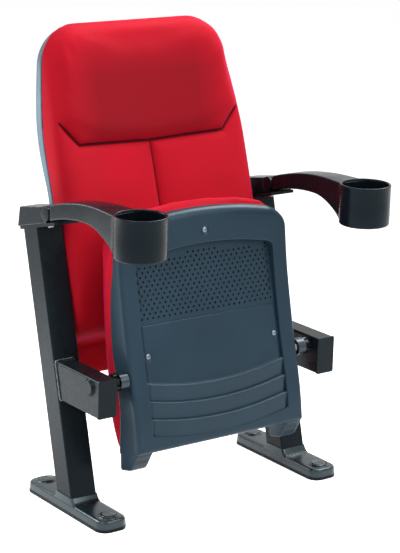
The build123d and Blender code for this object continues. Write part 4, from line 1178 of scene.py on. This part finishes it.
def foot_cover():
    """The moulded cover: its plan shrunk step by step over a rounded edge, a boot round the leg, and a
    raised ring round each bolt cap."""
    base = rounded_rectangle(foot_half_x, foot_half_y, foot_corner_r, per_corner=10, per_side=6)
    t = quarter_turn(7)
    rounding = zip(0.4 + 6 * (1 - np.cos(t)), 18.5 + 6 * np.sin(t))
    rows = []
    for inset, z in ((0.0, 6.0), (0.0, 12.0), *rounding, (9.5, 24.8), (13.0, 25.0)):
        plan = base * np.array([(foot_half_x - inset) / foot_half_x, (foot_half_y - inset) / foot_half_y])
        rows.append(stack(leg_x + plan[:, 0], plan[:, 1], z))
    boot = []
    boot_steps = ((22.0, 13.0, 2.4), (26.0, 8.0, 2.1), (31.0, 4.5, 1.9), (36.5, 2.9, 1.8), (38.0, 2.0, 1.2))
    for z, out, side in boot_steps:
        middle = leg_base_y + math.tan(leg_lean) * z
        plan = rounded_rectangle(leg_w / 2 + side, leg_d / math.cos(leg_lean) / 2 + out, 6.0)
        boot.append(stack(leg_x + plan[:, 0], middle + plan[:, 1], z))
    ring = turned([22.0, 21.2, 20.0, 18.8, 18.2, 18.0, 0.0], [24.2, 25.9, 26.5, 26.1, 25.4, 24.6, 24.6])
    rings = [placed(ring, (leg_x, y, 0)) for y in (-bolt_y, bolt_y)]
    return [tube_of(np.stack(rows)), tube_of(np.stack(boot)), *rings]


def bolt_caps():
    """Domed caps over the floor bolts, each with a flat middle."""
    t = quarter_turn(8)
    radii = [15.8, 15.8, *(9.8 + 6 * np.cos(t)), 9.0, 8.6, 0.0]
    heights = [24.0, 26.2, *(26.4 + 2.6 * np.sin(t)), 29.0, 28.6, 28.6]
    return [placed(turned(radii, heights, 56), (leg_x, y, 0)) for y in (-bolt_y, bolt_y)]


def make_feet():
    """Both foot covers and the four bolt caps."""
    for side in ("left", "right"):
        make_piece(f"{side}_foot_moulding", both(side, foot_cover()), foot_moulding, "stand",
                   [f"{side}_foot_cover"], crease=40)
    make_piece("bolt_cap_mouldings", bolt_caps() + both("left", bolt_caps()), foot_moulding, "stand",
               ["floor_bolt_caps"])


def weld_bead():
    """A rippled weld round the right seat bracket where it meets the leg's front, on the leg's own slope.
    At s along it, its radius is 2.1 + 0.55 |sin(pi s / ripple)| + 0.25 sin(0.31 s)."""
    loop = rounded_rectangle(weld_half_x, weld_half_z, 4.5, per_corner=6, per_side=60)
    x, z = bracket_x + loop[:, 0], bracket_z + loop[:, 1]
    y = leg_base_y + math.tan(leg_lean) * z - leg_d / 2 / math.cos(leg_lean) - 0.4
    path = stack(x, y, z)
    along = np.cumsum(np.linalg.norm(np.roll(path, -1, 0) - path, axis=1))
    radius = 2.1 + 0.55 * np.abs(np.sin(along * TAU / 2 / weld_ripple)) + 0.25 * np.sin(along * 0.31)
    outward = -inward(loop)
    out = stack(outward[:, 0], 0.0, outward[:, 1])
    lift = np.array([0.0, -math.cos(leg_lean), math.sin(leg_lean)])
    rows = []
    for a in np.arange(9) / 9 * TAU:
        rows.append(path + radius[:, None] * (math.cos(a) * out + math.sin(a) * lift))
    return ring_of(np.stack(rows))


make_feet()
make_piece("bracket_weld_beads", [weld_bead(), mirrored(weld_bead())], weld_metal, "stand",
           crease=60)


# ---------------------------------------------------------------- camera, light and floor

# Places, sizes and powers here are in metres and watts.
azimuth, elevation, roll = math.radians(-36.29), math.radians(15.23), math.radians(1.52)
looked_at, camera_far = Vector((0.0367, 0.012, 0.461)), 4.1809
photo_height, photo_focal, sensor = 553, 1945.12, 36  # pixels, pixels, mm
studio_level, backdrop_level, floor_lift = 0.42, 1.0, 0.6
floor_reach = 30
lamps = (
    ("key", (1.0, -3.0, 2.7), (0, 0, 0.5), 2.0, 58, True),
    ("left", (-2.6, -0.9, 1.9), (0, 0.1, 0.8), 1.2, 18, True),
    ("rim", (1.45, 0.15, 2.2), (0.1, -0.15, 0.25), 1.2, 44, False),
    ("top", (0.1, 0.2, 3.0), (0, 0, 0.4), 2.0, 46, True),
    ("floor_bounce", (-0.95, 0.75, 0.85), (-0.85, 0.65, 0), 0.7, 20, False),
)  # name, place, what it faces, width, power, whether the camera sees it


def make_camera():
    """The photograph's own view: turned 36 degrees to the left, 15 above the horizon."""
    level = math.cos(elevation)
    right = Vector((math.cos(azimuth), math.sin(azimuth), 0))
    back = Vector((math.sin(azimuth) * level, -math.cos(azimuth) * level, math.sin(elevation)))
    up = back.cross(right)
    across = math.cos(roll) * right + math.sin(roll) * up
    upright = -math.sin(roll) * right + math.cos(roll) * up
    camera = bpy.data.cameras.new("camera")
    camera.sensor_width, camera.sensor_fit = sensor, "AUTO"
    camera.lens = photo_focal * sensor / photo_height
    obj = add_object("camera", camera)
    columns = (across, upright, back, looked_at + back * camera_far)
    obj.matrix_world = Matrix([[c[i] for c in columns] for i in range(3)] + [[0, 0, 0, 1]])
    bpy.context.scene.camera = obj


def area_light(name, place, target, size, power, seen):
    """A square lamp at place that faces target."""
    lamp = bpy.data.lights.new(name, "AREA")
    lamp.shape, lamp.size, lamp.energy = "SQUARE", size, power
    obj = add_object(name, lamp)
    obj.location = place
    obj.visible_camera = seen
    obj.rotation_euler = (Vector(target) - Vector(place)).to_track_quat("-Z", "Y").to_euler()


def backdrop_seen(tree):
    """1 for rays from the camera, through glass and from mirrors, 0 for the studio light's own."""
    path = tree.nodes.new("ShaderNodeLightPath")
    seen = path.outputs["Is Camera Ray"]
    for other in ("Is Transmission Ray", "Is Glossy Ray"):
        either = tree.nodes.new("ShaderNodeMath")
        either.operation = "MAXIMUM"
        tree.links.new(seen, either.inputs[0])
        tree.links.new(path.outputs[other], either.inputs[1])
        seen = either.outputs[0]
    return seen


def make_world():
    """Even studio light; the camera, mirrors and glass see a white backdrop."""
    world = bpy.data.worlds.new("studio")
    world.use_nodes = True
    bpy.context.scene.world = world
    tree = world.node_tree
    mix = tree.nodes.new("ShaderNodeMapRange")
    tree.links.new(backdrop_seen(tree), mix.inputs[0])
    mix.inputs[3].default_value, mix.inputs[4].default_value = studio_level, backdrop_level
    shade = tree.nodes["Background"]
    shade.inputs[0].default_value = (1, 1, 1, 1)
    tree.links.new(mix.outputs[0], shade.inputs[1])


def make_floor():
    """A pale plain floor. The camera, mirrors and glass see it lifted towards white, with the object's
    shadow kept."""
    material = bpy.data.materials.new("pale_floor")
    material.use_nodes = True
    tree = material.node_tree
    shader = tree.nodes["Principled BSDF"]
    shader.inputs["Base Color"].default_value = (0.86, 0.86, 0.86, 1)
    shader.inputs["Roughness"].default_value = 0.9
    shader.inputs["Specular IOR Level"].default_value = 0.1
    shader.inputs["Emission Color"].default_value = (1, 1, 1, 1)
    lift = tree.nodes.new("ShaderNodeMath")
    lift.operation = "MULTIPLY"
    lift.inputs[1].default_value = floor_lift
    tree.links.new(backdrop_seen(tree), lift.inputs[0])
    tree.links.new(lift.outputs[0], shader.inputs["Emission Strength"])
    mesh = bpy.data.meshes.new("floor")
    corners = [(a * floor_reach, b * floor_reach, 0) for a, b in ((-1, -1), (1, -1), (1, 1), (-1, 1))]
    mesh.from_pydata(corners, [], [(0, 1, 2, 3)])
    mesh.materials.append(material)
    floor = add_object("floor", mesh)


bpy.context.scene.view_settings.view_transform = "Standard"
make_camera()
make_world()
for lamp_row in lamps:
    area_light(*lamp_row)
make_floor()
